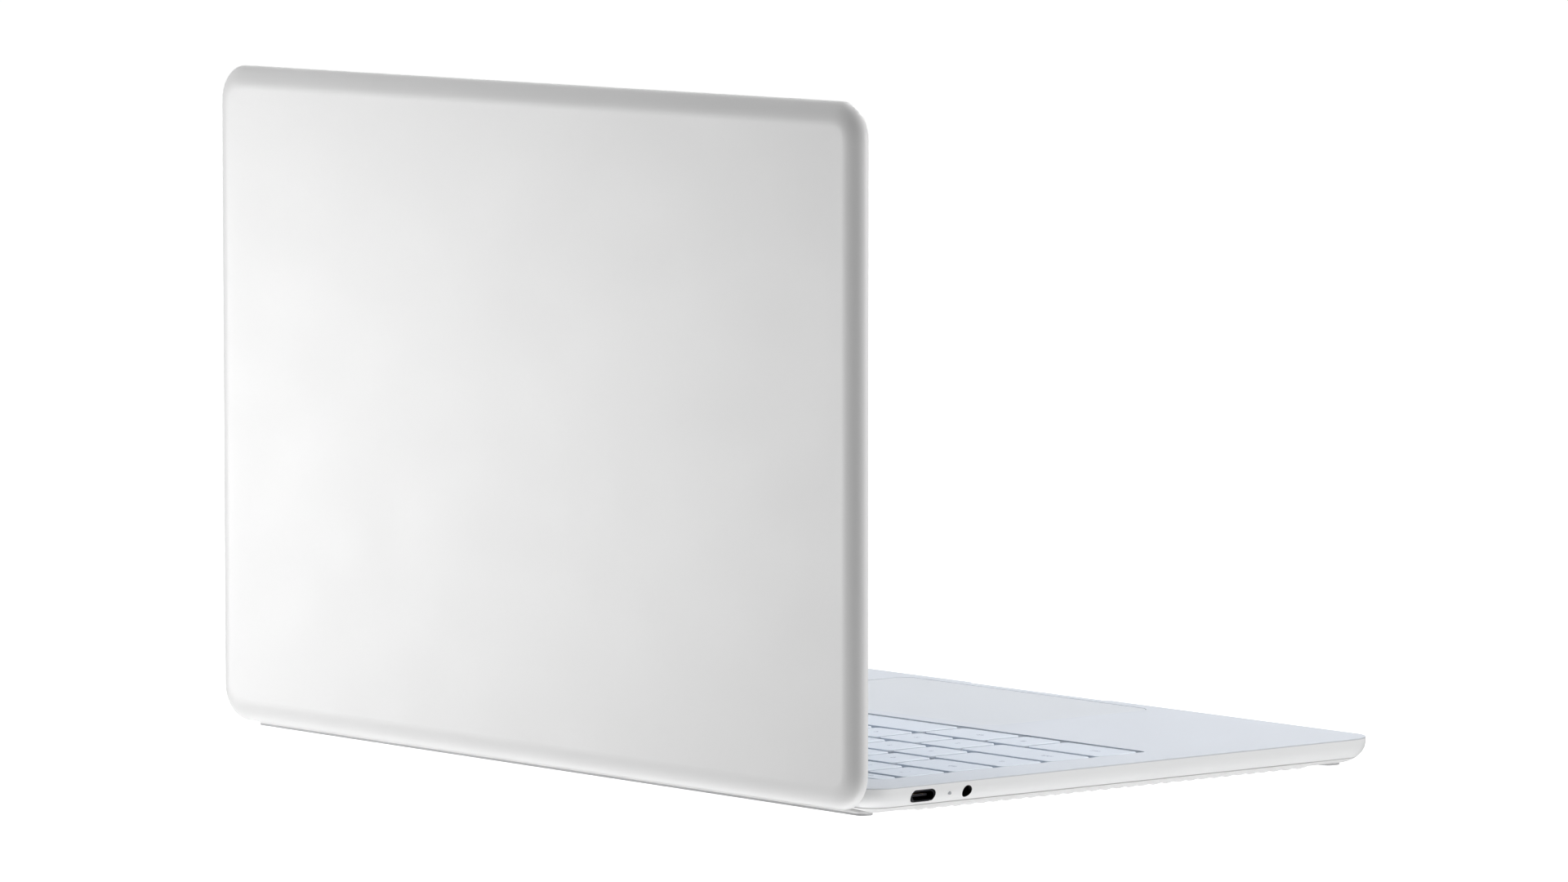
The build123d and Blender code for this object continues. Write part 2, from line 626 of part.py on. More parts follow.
# Each row from the left: node name, width in key units, how many of them.
FUNCTION_UNITS = KEY_UNITS / 14
KEY_ROWS = [
    [("function_keys", FUNCTION_UNITS, 13), ("power_key", FUNCTION_UNITS, 1)],
    [("number_row_keys", 1, 13), ("backspace_key", 1.5, 1)],
    [("tab_key", 1.5, 1), ("q_row_keys", 1, 13)],
    [("search_key", 1.75, 1), ("a_row_keys", 1, 11), ("enter_key", 1.75, 1)],
    [("left_shift_key", 2.25, 1), ("z_row_keys", 1, 10), ("right_shift_key", 2.25, 1)],
    [
        ("modifier_keys", 1.8, 1),
        ("modifier_keys", 1, 1),
        ("modifier_keys", 1.5, 1),
        ("space_bar", 5.2, 1),
        ("modifier_keys", 1, 2),
        ("arrow_keys", 1, 1),
        ("split_arrow_keys", 1, 1),
        ("arrow_keys", 1, 1),
    ],
]


def key_places():
    """(node, x0, x1, y0, y1) of every cap, row by row from the rear."""
    places = []
    half_gap = KEY_GAP / 2
    top = well_rear_y - WELL_MARGIN
    for number, row in enumerate(KEY_ROWS):
        depth = function_row_depth if number == 0 else KEY_PITCH
        x = -KEY_UNITS * KEY_PITCH / 2
        for name, units, count in row:
            for _ in range(count):
                x0, x1 = x + half_gap, x + units * KEY_PITCH - half_gap
                y0, y1 = top - depth + half_gap, top - half_gap
                if name == "split_arrow_keys":
                    middle, slit = (y0 + y1) / 2, KEY_SLIT / 2
                    places.append(("arrow_keys", x0, x1, y0, middle - slit))
                    places.append(("arrow_keys", x0, x1, middle + slit, y1))
                else:
                    places.append((name, x0, x1, y0, y1))
                x += units * KEY_PITCH
        top -= depth
    return places


def make_keys():
    """Every key node: its separate caps as one group."""
    groups = {}
    for name, *sides in key_places():
        groups.setdefault(name, []).append(key_cap(*sides))
    return {name: Compound(caps) for name, caps in groups.items()}


def make_domes():
    """A rubber dome under the middle of every cap."""
    domes = []
    for _, x0, x1, y0, y1 in key_places():
        height = key_bottom_z - DOME_AIR - membrane_top_z
        centred = (Align.CENTER, Align.CENTER, Align.MIN)
        dome = Cone(DOME_RADIUS, DOME_TOP_RADIUS, height, align=centred)
        domes.append(Pos((x0 + x1) / 2, (y0 + y1) / 2, membrane_top_z) * dome)
    return Compound(domes)


# ---------------------------------------------------------------- trackpad
def make_pad_board():
    """The touch circuit glued under the trackpad's glass."""
    return pad_block(pad_board_z, pad_glass_z, -PAD_BOARD_MARGIN)


def make_pad_bracket():
    """A steel tray under the pad, hung from the deck along its rear and sides."""
    rise = WELL_FRAME
    tray = pad_block(pad_bracket_z - PAD_BRACKET_THICKNESS, pad_bracket_z, PAD_GAP + rise)
    wall = pad_block(pad_bracket_z, deck_under_z, PAD_GAP + rise)
    wall -= pad_block(pad_bracket_z - 1, deck_under_z + 1, PAD_GAP)
    return tray + wall


# ---------------------------------------------------------------- hinges
def hinge_x(side, near, far):
    """X limits of a hinge piece, counted outwards from the hinge's own centre."""
    centre = side * HINGE_SPACING / 2
    return sorted((centre + side * near, centre + side * far))


half_washer = WASHER_THICKNESS / 2
barrel_near = half_washer + HINGE_SIDE_GAP / 2
barrel_far = barrel_near + KNUCKLE_LENGTH


def make_hinge_leaf(side):
    """The base's leaf: a barrel round the pin and a plate screwed under the deck."""
    x0, x1 = hinge_x(side, barrel_near, barrel_far)
    leaf = rod(x0, x1, hinge_y, hinge_z, KNUCKLE_RADIUS)
    y0 = hinge_y - KNUCKLE_RADIUS - LEAF_REACH
    leaf += block(x0, x1, y0, hinge_y, deck_under_z - LEAF_THICKNESS, deck_under_z)
    leaf -= rod(x0 - 1, x1 + 1, hinge_y, hinge_z, PIN_RADIUS + PIN_CLEARANCE)
    holes = [shank_hole(x, y, deck_under_z - 2, deck_under_z + 1) for x, y in hinge_leaf_holes(side)]
    return leaf - holes


def make_hinge_washer(side):
    """The friction washer between the two knuckles."""
    x0, x1 = hinge_x(side, -half_washer, half_washer)
    ring = rod(x0, x1, hinge_y, hinge_z, WASHER_RADIUS)
    return ring - rod(x0 - 1, x1 + 1, hinge_y, hinge_z, PIN_RADIUS + PIN_CLEARANCE)


def make_leaf_screws():
    """The screws that hold both leaves to the deck."""
    head_z = deck_under_z - LEAF_THICKNESS
    length = leaf_screw_tip_z - head_z
    places = [place for side in (-1, 1) for place in hinge_leaf_holes(side)]
    return Compound([screw(x, y, head_z, True, length) for x, y in places])


def bracket_screw_places(side):
    """(x, y) of one lid bracket's screws, with the lid closed."""
    x0, x1 = hinge_x(side, -barrel_far, -barrel_near)
    y = hinge_y - BRACKET_REACH + 2 * SCREW_HEAD_RADIUS
    return [(x0 + 2 * SCREW_HEAD_RADIUS, y), (x1 - 2 * SCREW_HEAD_RADIUS, y)]


def make_lid_bracket(side, cover):
    """The lid's half of a hinge: a knuckle, an arm and a plate, with the lid closed."""
    x0, x1 = hinge_x(side, -barrel_far, -barrel_near)
    bracket = rod(x0, x1, hinge_y, hinge_z, KNUCKLE_RADIUS)
    bracket += block(x0, x1, hinge_y - ARM_FRONT, hinge_y + ARM_REAR, hinge_z, lid_pocket_z)
    low = lid_pocket_z - BRACKET_THICKNESS
    bracket += block(x0, x1, hinge_y - BRACKET_REACH, hinge_y + ARM_REAR, low, lid_pocket_z)
    bracket -= rod(x0 - 1, x1 + 1, hinge_y, hinge_z, PIN_RADIUS)
    holes = [shank_hole(x, y, low - 1, lid_pocket_z + 1) for x, y in bracket_screw_places(side)]
    return bracket - holes - cover


def make_hinge_pin(side):
    """The pin: fixed in the lid's knuckle, turning in the base's barrel."""
    x0, x1 = hinge_x(side, -barrel_far, barrel_far + HINGE_SIDE_GAP)
    shaft = rod(x0, x1, hinge_y, hinge_z, PIN_RADIUS)
    x0, x1 = hinge_x(side, barrel_far + HINGE_SIDE_GAP, barrel_far + HINGE_SIDE_GAP + PIN_HEAD_LENGTH)
    return shaft + rod(x0, x1, hinge_y, hinge_z, PIN_HEAD_RADIUS)


def make_lid_screws():
    """The screws that hold both lid brackets, with the lid closed."""
    head_z = lid_pocket_z - BRACKET_THICKNESS
    length = BRACKET_THICKNESS + LID_SKIN / 2
    places = [place for side in (-1, 1) for place in bracket_screw_places(side)]
    return Compound([screw(x, y, head_z, True, length) for x, y in places])


# ---------------------------------------------------------------- lid, described closed
def lid_prism(grow, z0, z1):
    """The lid's plan as a solid, shrunk from its edge by grow."""
    half = WIDTH / 2 - grow
    return plate(-half, half, front_y + grow, rear_y - grow, z0, z1, LID_CORNER - grow)


def make_lid_cover():
    """The lid's outer shell: a shallow pan, open towards the deck."""
    levels = (lid_inner_z, lid_outer_z, LID_EDGE_STRAIGHT)
    outer = pan(WIDTH / 2, front_y, rear_y, LID_CORNER, LID_EDGE_INSET, *levels)
    half = WIDTH / 2 - LID_RIM
    corner, inset = LID_CORNER - LID_RIM, LID_EDGE_INSET - LID_RIM
    y0, y1 = front_y + LID_RIM, rear_y - LID_RIM
    inner = pan(half, y0, y1, corner, inset, lid_inner_z, lid_pocket_z, LID_EDGE_STRAIGHT)
    tips = [place for side in (-1, 1) for place in bracket_screw_places(side)]
    holes = [shank_hole(x, y, lid_pocket_z, lid_pocket_z + LID_SKIN / 2) for x, y in tips]
    return outer - inner - holes


strip_front_y = rear_y - LID_RIM - HINGE_STRIP_DEPTH
glass_front_y = front_y + LID_RIM + GASKET_WIDTH


def make_hinge_strip(cover):
    """The trim between the cover glass and the lid's hinge edge, slotted for the arms."""
    strip = lid_prism(LID_RIM, lid_inner_z, lid_inner_z + HINGE_STRIP_THICKNESS)
    strip -= block(-WIDTH, WIDTH, front_y, strip_front_y, lid_inner_z - 1, lid_outer_z)
    strip -= cover
    for side in (-1, 1):
        x0, x1 = hinge_x(side, -barrel_far, -barrel_near)
        y0, y1 = hinge_y - ARM_FRONT - FIT_GAP, hinge_y + ARM_REAR + FIT_GAP
        strip -= block(x0 - FIT_GAP, x1 + FIT_GAP, y0, y1, lid_inner_z - 1, lid_outer_z)
    return strip


def glass_block(z0, z1, grow=0.0):
    """The cover glass's outline as a solid, grown outwards all round."""
    half = WIDTH / 2 - LID_RIM - GASKET_WIDTH + grow
    corner = LID_CORNER - LID_RIM - GASKET_WIDTH + grow
    y0, y1 = glass_front_y - grow, strip_front_y - GASKET_WIDTH + grow
    return plate(-half, half, y0, y1, z0, z1, corner, GLASS_HINGE_CORNER + grow)


def make_gasket():
    """The rubber seal round the glass, standing a little proud of it."""
    ring = lid_prism(LID_RIM, lid_inner_z - GASKET_STAND, lid_inner_z + LID_EDGE_STRAIGHT)
    ring -= block(-WIDTH, WIDTH, strip_front_y, rear_y, lid_inner_z - 1, lid_outer_z)
    return ring - glass_block(lid_inner_z - 1, lid_outer_z)


def top_strip(x0, x1, height=STRIP_PIECE_HEIGHT):
    """A piece in the strip between the panel and the lid's free edge."""
    y = glass_front_y + STRIP_PIECE_MARGIN
    return block(x0, x1, y, y + STRIP_PIECE_DEPTH, lid_glass_z, lid_glass_z + height)


def paired(spacing, width):
    """Left and right pieces of the top strip as one group."""
    limits = [(side * spacing / 2 - width / 2, side * spacing / 2 + width / 2) for side in (-1, 1)]
    return Compound([top_strip(x0, x1) for x0, x1 in limits])


def make_camera():
    """The camera module, with its lens barrel sunk into the board's face."""
    y = glass_front_y + STRIP_PIECE_MARGIN + STRIP_PIECE_DEPTH / 2
    body = top_strip(-CAMERA_WIDTH / 2, CAMERA_WIDTH / 2)
    return body - disc(0, y, lid_glass_z, lid_glass_z + LID_EDGE_STRAIGHT, CAMERA_LENS_RADIUS)


def make_panel():
    """The display panel behind the glass."""
    half = PANEL_WIDTH / 2
    rear = rear_y - PANEL_CHIN
    return block(-half, half, rear - PANEL_DEPTH, rear, lid_glass_z, lid_panel_z)


def make_display_board():
    """The panel's driver board, in the chin between the two hinge brackets."""
    half = DISPLAY_BOARD_WIDTH / 2
    rear = strip_front_y - GASKET_WIDTH
    y0 = rear - DISPLAY_BOARD_DEPTH
    return block(-half, half, y0, rear, lid_glass_z, lid_glass_z + DISPLAY_BOARD_THICKNESS)


# ---------------------------------------------------------------- write the nodes
def make_nodes():
    """Every node of the laptop by name."""
    envelope = base_envelope()
    cavity = base_cavity()
    lid_cover = make_lid_cover()
    nodes = {
        "top_case": make_top_case(envelope, cavity),
        "bottom_cover": make_bottom_cover(envelope, cavity),
        "front_foot": foot_strip(front_foot_y, FRONT_FOOT_WIDTH, 0, 0, underside_z),
        "rear_foot": foot_strip(rear_foot_y, REAR_FOOT_WIDTH, 0, 0, underside_z),
        "cover_screws": make_cover_screws(),
        "keyboard_plate": well_block(plate_bottom_z, plate_top_z, WELL_FRAME),
        "key_membrane": well_block(plate_top_z, membrane_top_z),
        "key_domes": make_domes(),
        "mainboard": make_mainboard(),
        "board_screws": make_board_screws(),
        "heat_spreader": make_heat_spreader(),
        "battery_cells": make_battery_cells(),
        "battery_board": make_battery_board(),
        "speaker_left": make_speaker(-1),
        "speaker_right": make_speaker(1),
        "usb_c_port_left": make_port(-1),
        "usb_c_port_right": make_port(1),
        "headphone_jack": make_jack(),
        "status_lights": Compound(both_sides(make_status_light)),
        "trackpad_glass": pad_block(pad_glass_z, pad_top_z),
        "trackpad_board": make_pad_board(),
        "trackpad_bracket": make_pad_bracket(),
        "hinge_leaf_left": make_hinge_leaf(-1),
        "hinge_leaf_right": make_hinge_leaf(1),
        "hinge_leaf_screws": make_leaf_screws(),
        "hinge_washers": Compound(both_sides(make_hinge_washer)),
    }
    lid = {
        "lid_cover": lid_cover,
        "lid_hinge_strip": make_hinge_strip(lid_cover),
        "cover_glass": glass_block(lid_inner_z, lid_glass_z),
        "bezel_gasket": make_gasket(),
        "display_panel": make_panel(),
        "display_board": make_display_board(),
        "camera_module": make_camera(),
        "microphones": paired(MICROPHONE_SPACING, MICROPHONE_WIDTH),
        "wifi_aerials": paired(AERIAL_SPACING, AERIAL_WIDTH),
        "lid_magnets": paired(MAGNET_SPACING, MAGNET_WIDTH),
        "lid_bracket_left": make_lid_bracket(-1, lid_cover),
        "lid_bracket_right": make_lid_bracket(1, lid_cover),
        "lid_bracket_screws": make_lid_screws(),
        "hinge_pins": Compound(both_sides(make_hinge_pin)),
    }
    nodes.update(make_keys())
    nodes.update({name: opened(piece) for name, piece in lid.items()})
    return nodes


os.makedirs("parts", exist_ok=True)
for node_name, node_shape in make_nodes().items():
    export_step(node_shape, f"parts/{node_name}.step")
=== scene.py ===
import bpy
import bmesh
import json
from math import cos, pi, radians, sin, sqrt
from mathutils import Matrix, Vector


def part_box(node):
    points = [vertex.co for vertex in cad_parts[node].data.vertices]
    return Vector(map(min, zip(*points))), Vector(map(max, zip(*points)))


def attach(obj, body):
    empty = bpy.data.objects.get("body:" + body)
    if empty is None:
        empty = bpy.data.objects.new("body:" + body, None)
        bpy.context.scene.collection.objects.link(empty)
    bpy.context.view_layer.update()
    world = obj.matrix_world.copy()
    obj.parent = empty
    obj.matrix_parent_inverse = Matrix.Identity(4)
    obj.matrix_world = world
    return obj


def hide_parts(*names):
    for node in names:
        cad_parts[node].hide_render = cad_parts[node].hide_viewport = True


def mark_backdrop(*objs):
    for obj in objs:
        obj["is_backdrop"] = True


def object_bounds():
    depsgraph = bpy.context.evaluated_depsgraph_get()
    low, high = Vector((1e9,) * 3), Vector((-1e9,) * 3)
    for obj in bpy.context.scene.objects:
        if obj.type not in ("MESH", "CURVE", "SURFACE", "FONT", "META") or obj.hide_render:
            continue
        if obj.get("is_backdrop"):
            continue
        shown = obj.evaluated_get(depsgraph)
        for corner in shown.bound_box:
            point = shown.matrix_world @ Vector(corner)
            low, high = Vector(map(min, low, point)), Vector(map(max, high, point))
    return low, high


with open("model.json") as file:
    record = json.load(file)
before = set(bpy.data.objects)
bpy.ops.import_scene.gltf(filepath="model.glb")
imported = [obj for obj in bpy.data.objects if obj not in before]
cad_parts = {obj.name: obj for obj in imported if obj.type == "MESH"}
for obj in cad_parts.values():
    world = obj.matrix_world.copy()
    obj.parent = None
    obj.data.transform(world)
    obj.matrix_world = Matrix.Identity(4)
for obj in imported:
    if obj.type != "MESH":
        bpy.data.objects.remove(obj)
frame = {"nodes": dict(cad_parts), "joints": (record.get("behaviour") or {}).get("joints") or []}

# %% [markdown]
# # A slim laptop computer with its lid open
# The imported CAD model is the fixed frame: its shells, boards, hinges and ports stay where they
# are and get finishes here. Blender makes what CAD draws too plainly: the rippled underside,
# the rounded key caps with their legends, the lit screen, and the gold contacts in the ports.
# Everything is in metres, so sizes that are easier to read in millimetres are multiplied by MM.

# %% Measure the frame
MM = 0.001
cad_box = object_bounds()
nodes = frame["nodes"]
case_low, case_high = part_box("top_case")
hinge = next(joint for joint in frame["joints"] if joint["name"] == "lid_hinge")
hinge_y = hinge["pos_m"][1]
print("CAD box in mm:", [[round(v / MM, 2) for v in corner] for corner in cad_box])

# %% [markdown]
# ## Sums on sockets
# Blender's node trees are wired one node at a time, which hides simple arithmetic in a page of
# links. `Term` wraps one socket, so that `1 - mask` or `height * 0.5 + floor` can be written as
# they are said. The same class serves materials and Geometry Nodes, because both do their sums
# with Math nodes. Any other node comes from `node`: its settings first, then its inputs.


# %% The Term class
class Term:
    """One socket of a node tree; Python sums on Terms add the Math nodes for them."""

    def __init__(self, tree, socket=None):
        self.tree = tree
        self.socket = socket

    def node(self, kind, settings=None, inputs=None, output=0):
        """Adds a node with its settings and its inputs, and returns one of its outputs."""
        made = self.tree.nodes.new(kind)
        for key, value in (settings or {}).items():
            if key == "stops":
                for element, (at, colour) in zip(made.color_ramp.elements, value):
                    element.position, element.color = at, colour
            else:
                setattr(made, key, value)
        for key, value in (inputs or {}).items():
            if isinstance(value, Term):
                self.tree.links.new(value.socket, made.inputs[key])
            else:
                made.inputs[key].default_value = value
        return Term(self.tree, made.outputs[output] if len(made.outputs) else None)

    def sum(self, operation, *values):
        return self.node("ShaderNodeMath", {"operation": operation}, dict(enumerate(values)))

    def __add__(self, other):
        return self.sum("ADD", self, other)

    def __sub__(self, other):
        return self.sum("SUBTRACT", self, other)

    def __rsub__(self, other):
        return self.sum("SUBTRACT", other, self)

    def __mul__(self, other):
        return self.sum("MULTIPLY", self, other)

    def __truediv__(self, other):
        return self.sum("DIVIDE", self, other)

    __radd__ = __add__
    __rmul__ = __mul__

    def ramp(self, low, high):
        """0 at low, 1 at high and a straight line between."""
        return self.sum("MULTIPLY_ADD", self, 1 / (high - low), -low / (high - low)).clamped()

    def clamped(self):
        return self.sum("MAXIMUM", self.sum("MINIMUM", self, 1.0), 0.0)

    def part(self, axis):
        """The X, Y or Z of a vector."""
        return self.node("ShaderNodeSeparateXYZ", {}, {0: self}, axis)

    def noise(self, size, detail=2.0):
        """Smooth random values round 0.5, in lumps of about that size."""
        inputs = {"Vector": self, "Scale": 1 / size, "Detail": detail}
        return self.node("ShaderNodeTexNoise", {}, inputs)

    def tint(self, colour):
        """A colour multiplied by this value."""
        return self.node("ShaderNodeVectorMath", {"operation": "SCALE"}, {0: colour, "Scale": self})

    def mix(self, colour, other):
        """A colour where this value is 0, the other colour where it is 1."""
        inputs = {0: self, 6: colour, 7: other}
        return self.node("ShaderNodeMix", {"data_type": "RGBA"}, inputs, 2)


def finish(name, dress):
    """A material whose surface is what dress(place) says, place being Object coordinates."""
    material = bpy.data.materials.new(name)
    material.use_nodes = True
    material.node_tree.nodes.clear()
    start = Term(material.node_tree)
    place = start.node("ShaderNodeTexCoord", output="Object")
    shader = start.node("ShaderNodeBsdfPrincipled", {}, dress(place))
    start.node("ShaderNodeOutputMaterial", {}, {"Surface": shader})
    return material


# %% [markdown]
# ## Finishes
# Most parts of a laptop are painted, moulded or plated, and differ in only a few ways: the
# colour and how far it drifts, how rough the gloss is, how coarse the grain is and how deep.
# `grained` writes that down once, and the clouds in a finish are CLOUD times as large as its
# grain. The paint on the shell is a satin coat with a grain of about a third of a millimetre;
# steel is brushed, so its grain is stretched along one axis.


# %% One recipe for grained surfaces
CLOUD = 60


def grained(place, colour, drift, gloss, spread, grain, relief, stretch=(1, 1, 1)):
    """Inputs of a surface whose colour drifts, whose gloss is uneven and whose grain is raised."""
    along = place.node("ShaderNodeMapping", {}, {"Vector": place, "Scale": stretch})
    fleck = along.noise(grain)
    cloud = place.noise(CLOUD * grain)
    tone = 1 - drift + drift * (fleck + cloud)
    bump = {"Strength": 1.0, "Distance": relief, "Height": fleck}
    base = tone.tint(colour[:3]) if isinstance(colour, tuple) else tone.tint(colour)
    return {
        "Base Color": base,
        "Roughness": gloss + spread * (cloud - 0.5) + spread * (fleck - 0.5),
        "Normal": place.node("ShaderNodeBump", {}, bump),
    }


def plain(name, colour, drift, gloss, spread, grain, relief, stretch=(1, 1, 1), **constants):
    """A grained finish of one colour, with any constants for the surface's other inputs."""

    def dress(place):
        made = grained(place, colour, drift, gloss, spread, grain, relief, stretch)
        return {**made, **constants}

    return finish(name, dress)


# %% [markdown]
# ## Paint on the shell
# The case is one piece with one paint, so what changes over it is worked out from the place.
# The flanks are neutral and the deck is painted a darker, cooler white: painted shade with a
# painted blue cast of light from the lit screen. The walls of the two sockets' holes are painted
# black as painted shade: each hole is a round-ended slot, so its walls are the points within a
# radius of a short level line. Where the deck meets the flank, and along the parting line between
# the case and the bottom cover, a narrow band is painted darker as painted shade, because light
# hardly gets into a seam.

# %% Shell paint
LID_WHITE = (0.86, 0.86, 0.86)
FLANK_WHITE = (0.86, 0.865, 0.87)
# The deck's white is darker and bluer than the flanks': painted shade and a painted blue cast of the
# screen's light.
DECK_SHADE_AND_BLUE_LIGHT = (0.74, 0.775, 0.83)
# Black for the walls of the socket holes: painted shade inside the holes.
PORT_HOLE_SHADE = (0.012, 0.012, 0.013)
PAINT_GRAIN = 0.35 * MM
PAINT_RELIEF = 0.004 * MM
CASE_PAINT = (0.02, 0.45, 0.1, PAINT_GRAIN, PAINT_RELIEF)
LID_PAINT = (0.025, 0.42, 0.1, PAINT_GRAIN, PAINT_RELIEF)
PARTING = 2.6 * MM
SEAM_OVER = 0.22 * MM
SEAM_UNDER = 0.2 * MM
SEAM_SHADE = 0.3
COVER_SEAM_SHADE = 0.35
RIM_TOP = 0.1 * MM
RIM_LOW = 0.45 * MM
RIM_SHADE = 0.22
BAND_FADE = 0.05 * MM
DECK_FADE = 0.4 * MM
JACK_RADIUS = 1.8 * MM
PORT_MARGIN = 0.3 * MM
jack_low, jack_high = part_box("headphone_jack")
port_low, port_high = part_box("usb_c_port_left")
port_width, port_height = port_high.y - port_low.y, port_high.z - port_low.z
socket_z = (port_low.z + port_high.z) / 2
SOCKETS = [
    ((jack_low.y + jack_high.y) / 2, 0.0, JACK_RADIUS),
    ((port_low.y + port_high.y) / 2, (port_width - port_height) / 2, port_height / 2 + PORT_MARGIN),
]


def in_socket(place, y, straight, radius):
    """1 within a radius of a level line across the case: the walls of one socket's hole, painted black as
    painted shade.
    """
    offset = place.part(1) - y
    beyond = offset.sum("MAXIMUM", offset, -1 * offset) - straight
    beyond = beyond.sum("MAXIMUM", beyond, 0.0)
    rise = place.part(2) - socket_z
    return beyond.sum("LESS_THAN", beyond * beyond + rise * rise, radius * radius)


def band(place, low, high):
    """1 between two heights, fading out just inside both."""
    height = place.part(2)
    return height.ramp(low, low + BAND_FADE) - height.ramp(high - BAND_FADE, high)


def dress_case(place):
    """Neutral on the flanks, with painted shade: darker and bluer on the deck, black in the sockets' holes,
    darker at seams.
    """
    over_deck = place.part(2).ramp(case_high.z - RIM_TOP - DECK_FADE, case_high.z - RIM_TOP)
    colour = over_deck.mix((*FLANK_WHITE, 1), (*DECK_SHADE_AND_BLUE_LIGHT, 1))
    for socket in SOCKETS:
        colour = in_socket(place, *socket).mix(colour, (*PORT_HOLE_SHADE, 1))
    # Painted shade: a darker band along the deck's edge and in the seam at the parting line.
    rim_line = band(place, case_high.z - RIM_LOW, case_high.z - RIM_TOP)
    seam = band(place, PARTING, PARTING + SEAM_OVER)
    colour = (1 - RIM_SHADE * rim_line - SEAM_SHADE * seam).tint(colour)
    return grained(place, colour, *CASE_PAINT)


def dress_cover(place):
    """The lid's white, with painted shade: a little darker where it meets the case along the parting line.
    """
    seam = band(place, PARTING - SEAM_UNDER, PARTING)
    colour = (1 - COVER_SEAM_SHADE * seam).tint(LID_WHITE)
    return grained(place, colour, *LID_PAINT)


satin_white = plain("satin_white", LID_WHITE, *LID_PAINT)
deck_paint = finish("deck_paint", dress_case)
cover_paint = finish("cover_paint", dress_cover)
pad_finish = plain("pad_finish", (0.78, 0.81, 0.85), 0.02, 0.38, 0.08, 0.2 * MM, 0.001 * MM)
key_plastic = plain("key_plastic", (0.70, 0.75, 0.82), 0.03, 0.55, 0.12, 0.3 * MM, 0.004 * MM)
key_ink = plain("key_ink", (0.36, 0.40, 0.48), 0.1, 0.6, 0.1, 0.2 * MM, 0.001 * MM)
slate_paint = plain("slate_paint", (0.07, 0.10, 0.16), 0.1, 0.6, 0.1, 0.4 * MM, 0.004 * MM)

# %% Plastics and rubbers
foot_rubber = plain("foot_rubber", (0.52, 0.52, 0.53), 0.12, 0.75, 0.15, 0.4 * MM, 0.02 * MM)
gasket_rubber = plain("gasket_rubber", (0.02, 0.02, 0.022), 0.2, 0.7, 0.15, 0.3 * MM, 0.01 * MM)
hinge_plastic = plain("hinge_plastic", (0.03, 0.03, 0.033), 0.2, 0.5, 0.15, 0.3 * MM, 0.006 * MM)
black_plastic = plain("black_plastic", (0.012, 0.012, 0.013), 0.2, 0.5, 0.15, 0.3 * MM, 0.006 * MM)
dome_rubber = plain("dome_rubber", (0.60, 0.60, 0.58), 0.1, 0.65, 0.15, 0.3 * MM, 0.01 * MM)
light_pipe = plain("light_pipe", (0.40, 0.42, 0.44), 0.05, 0.25, 0.1, 0.3 * MM, 0.001 * MM)
cell_foil = plain(
    "cell_foil", (0.55, 0.56, 0.58), 0.15, 0.38, 0.2, 1.2 * MM, 0.05 * MM, Metallic=0.8
)

# %% Metals
steel = plain(
    "brushed_steel", (0.60, 0.60, 0.62), 0.1, 0.35, 0.15, 0.15 * MM, 0.004 * MM, (0.05, 1, 1),
    Metallic=1.0,
)
dark_nickel = plain(
    "dark_nickel", (0.035, 0.035, 0.04), 0.15, 0.4, 0.15, 0.2 * MM, 0.003 * MM, Metallic=1.0
)
gold = plain("contact_gold", (0.80, 0.58, 0.25), 0.1, 0.3, 0.1, 0.1 * MM, 0.001 * MM, Metallic=1.0)
copper = plain(
    "rolled_copper", (0.75, 0.36, 0.22), 0.15, 0.35, 0.15, 0.3 * MM, 0.005 * MM, (0.1, 1, 1),
    Metallic=1.0,
)

# %% [markdown]
# ## Circuit boards and glass
# A circuit board is a green lacquer over copper traces, so its colour switches between two
# greens along a fine brick pattern. The screen glass is black and glossy with a faint haze of
# wear. The picture on the screen is only a soft slope of colour, brighter low down, worked out
# from the height on the glass and a very large, slow noise.


# %% Boards, glass and the lit screen
def dress_board(place):
    """Green lacquer, lighter over the copper traces."""
    settings = {"offset": 0.5}
    bricks = {"Vector": place, "Scale": 90.0, "Mortar Size": 0.03, "Row Height": 0.12}
    trace = place.node("ShaderNodeTexBrick", settings, bricks, 1)
    colour = trace.mix((0.015, 0.10, 0.05, 1), (0.05, 0.24, 0.12, 1))
    return grained(place, colour, 0.1, 0.4, 0.15, 0.4 * MM, 0.01 * MM)


SWAY_SIZE = 0.22
SWAY = 0.8
ASIDE = 0.24
SCREEN_GLOW = 0.55
screen_low, screen_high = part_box("display_panel")


def dress_picture(place):
    """A soft slope of blues that rises a little to one side."""
    height = place.part(2).ramp(screen_low.z, screen_high.z)
    sway = place.noise(SWAY_SIZE, 1.0) - 0.5
    aside = place.part(0) / screen_high.x
    level = (height + SWAY * sway + ASIDE * aside).clamped()
    stops = [(0.05, (0.62, 0.78, 0.95, 1)), (0.95, (0.10, 0.16, 0.42, 1))]
    glow = level.node("ShaderNodeValToRGB", {"stops": stops}, {0: level})
    made = grained(place, (0.01, 0.012, 0.02), 0.1, 0.14, 0.04, 0.5 * MM, 0.0)
    return {**made, "Emission Color": glow, "Emission Strength": SCREEN_GLOW}


circuit_board = finish("circuit_board", dress_board)
black_glass = plain("black_glass", (0.006, 0.006, 0.008), 0.2, 0.12, 0.05, 2 * MM, 0.0)
lit_picture = finish("lit_picture", dress_picture)
lens_glass = plain("lens_glass", (0.01, 0.012, 0.03), 0.3, 0.06, 0.04, 0.5 * MM, 0.0)
print("finishes made:", len(bpy.data.materials))

# %% [markdown]
# ## Carrying the CAD parts over
# These nodes already have the right shape, so each one only swaps the finish in its slot.

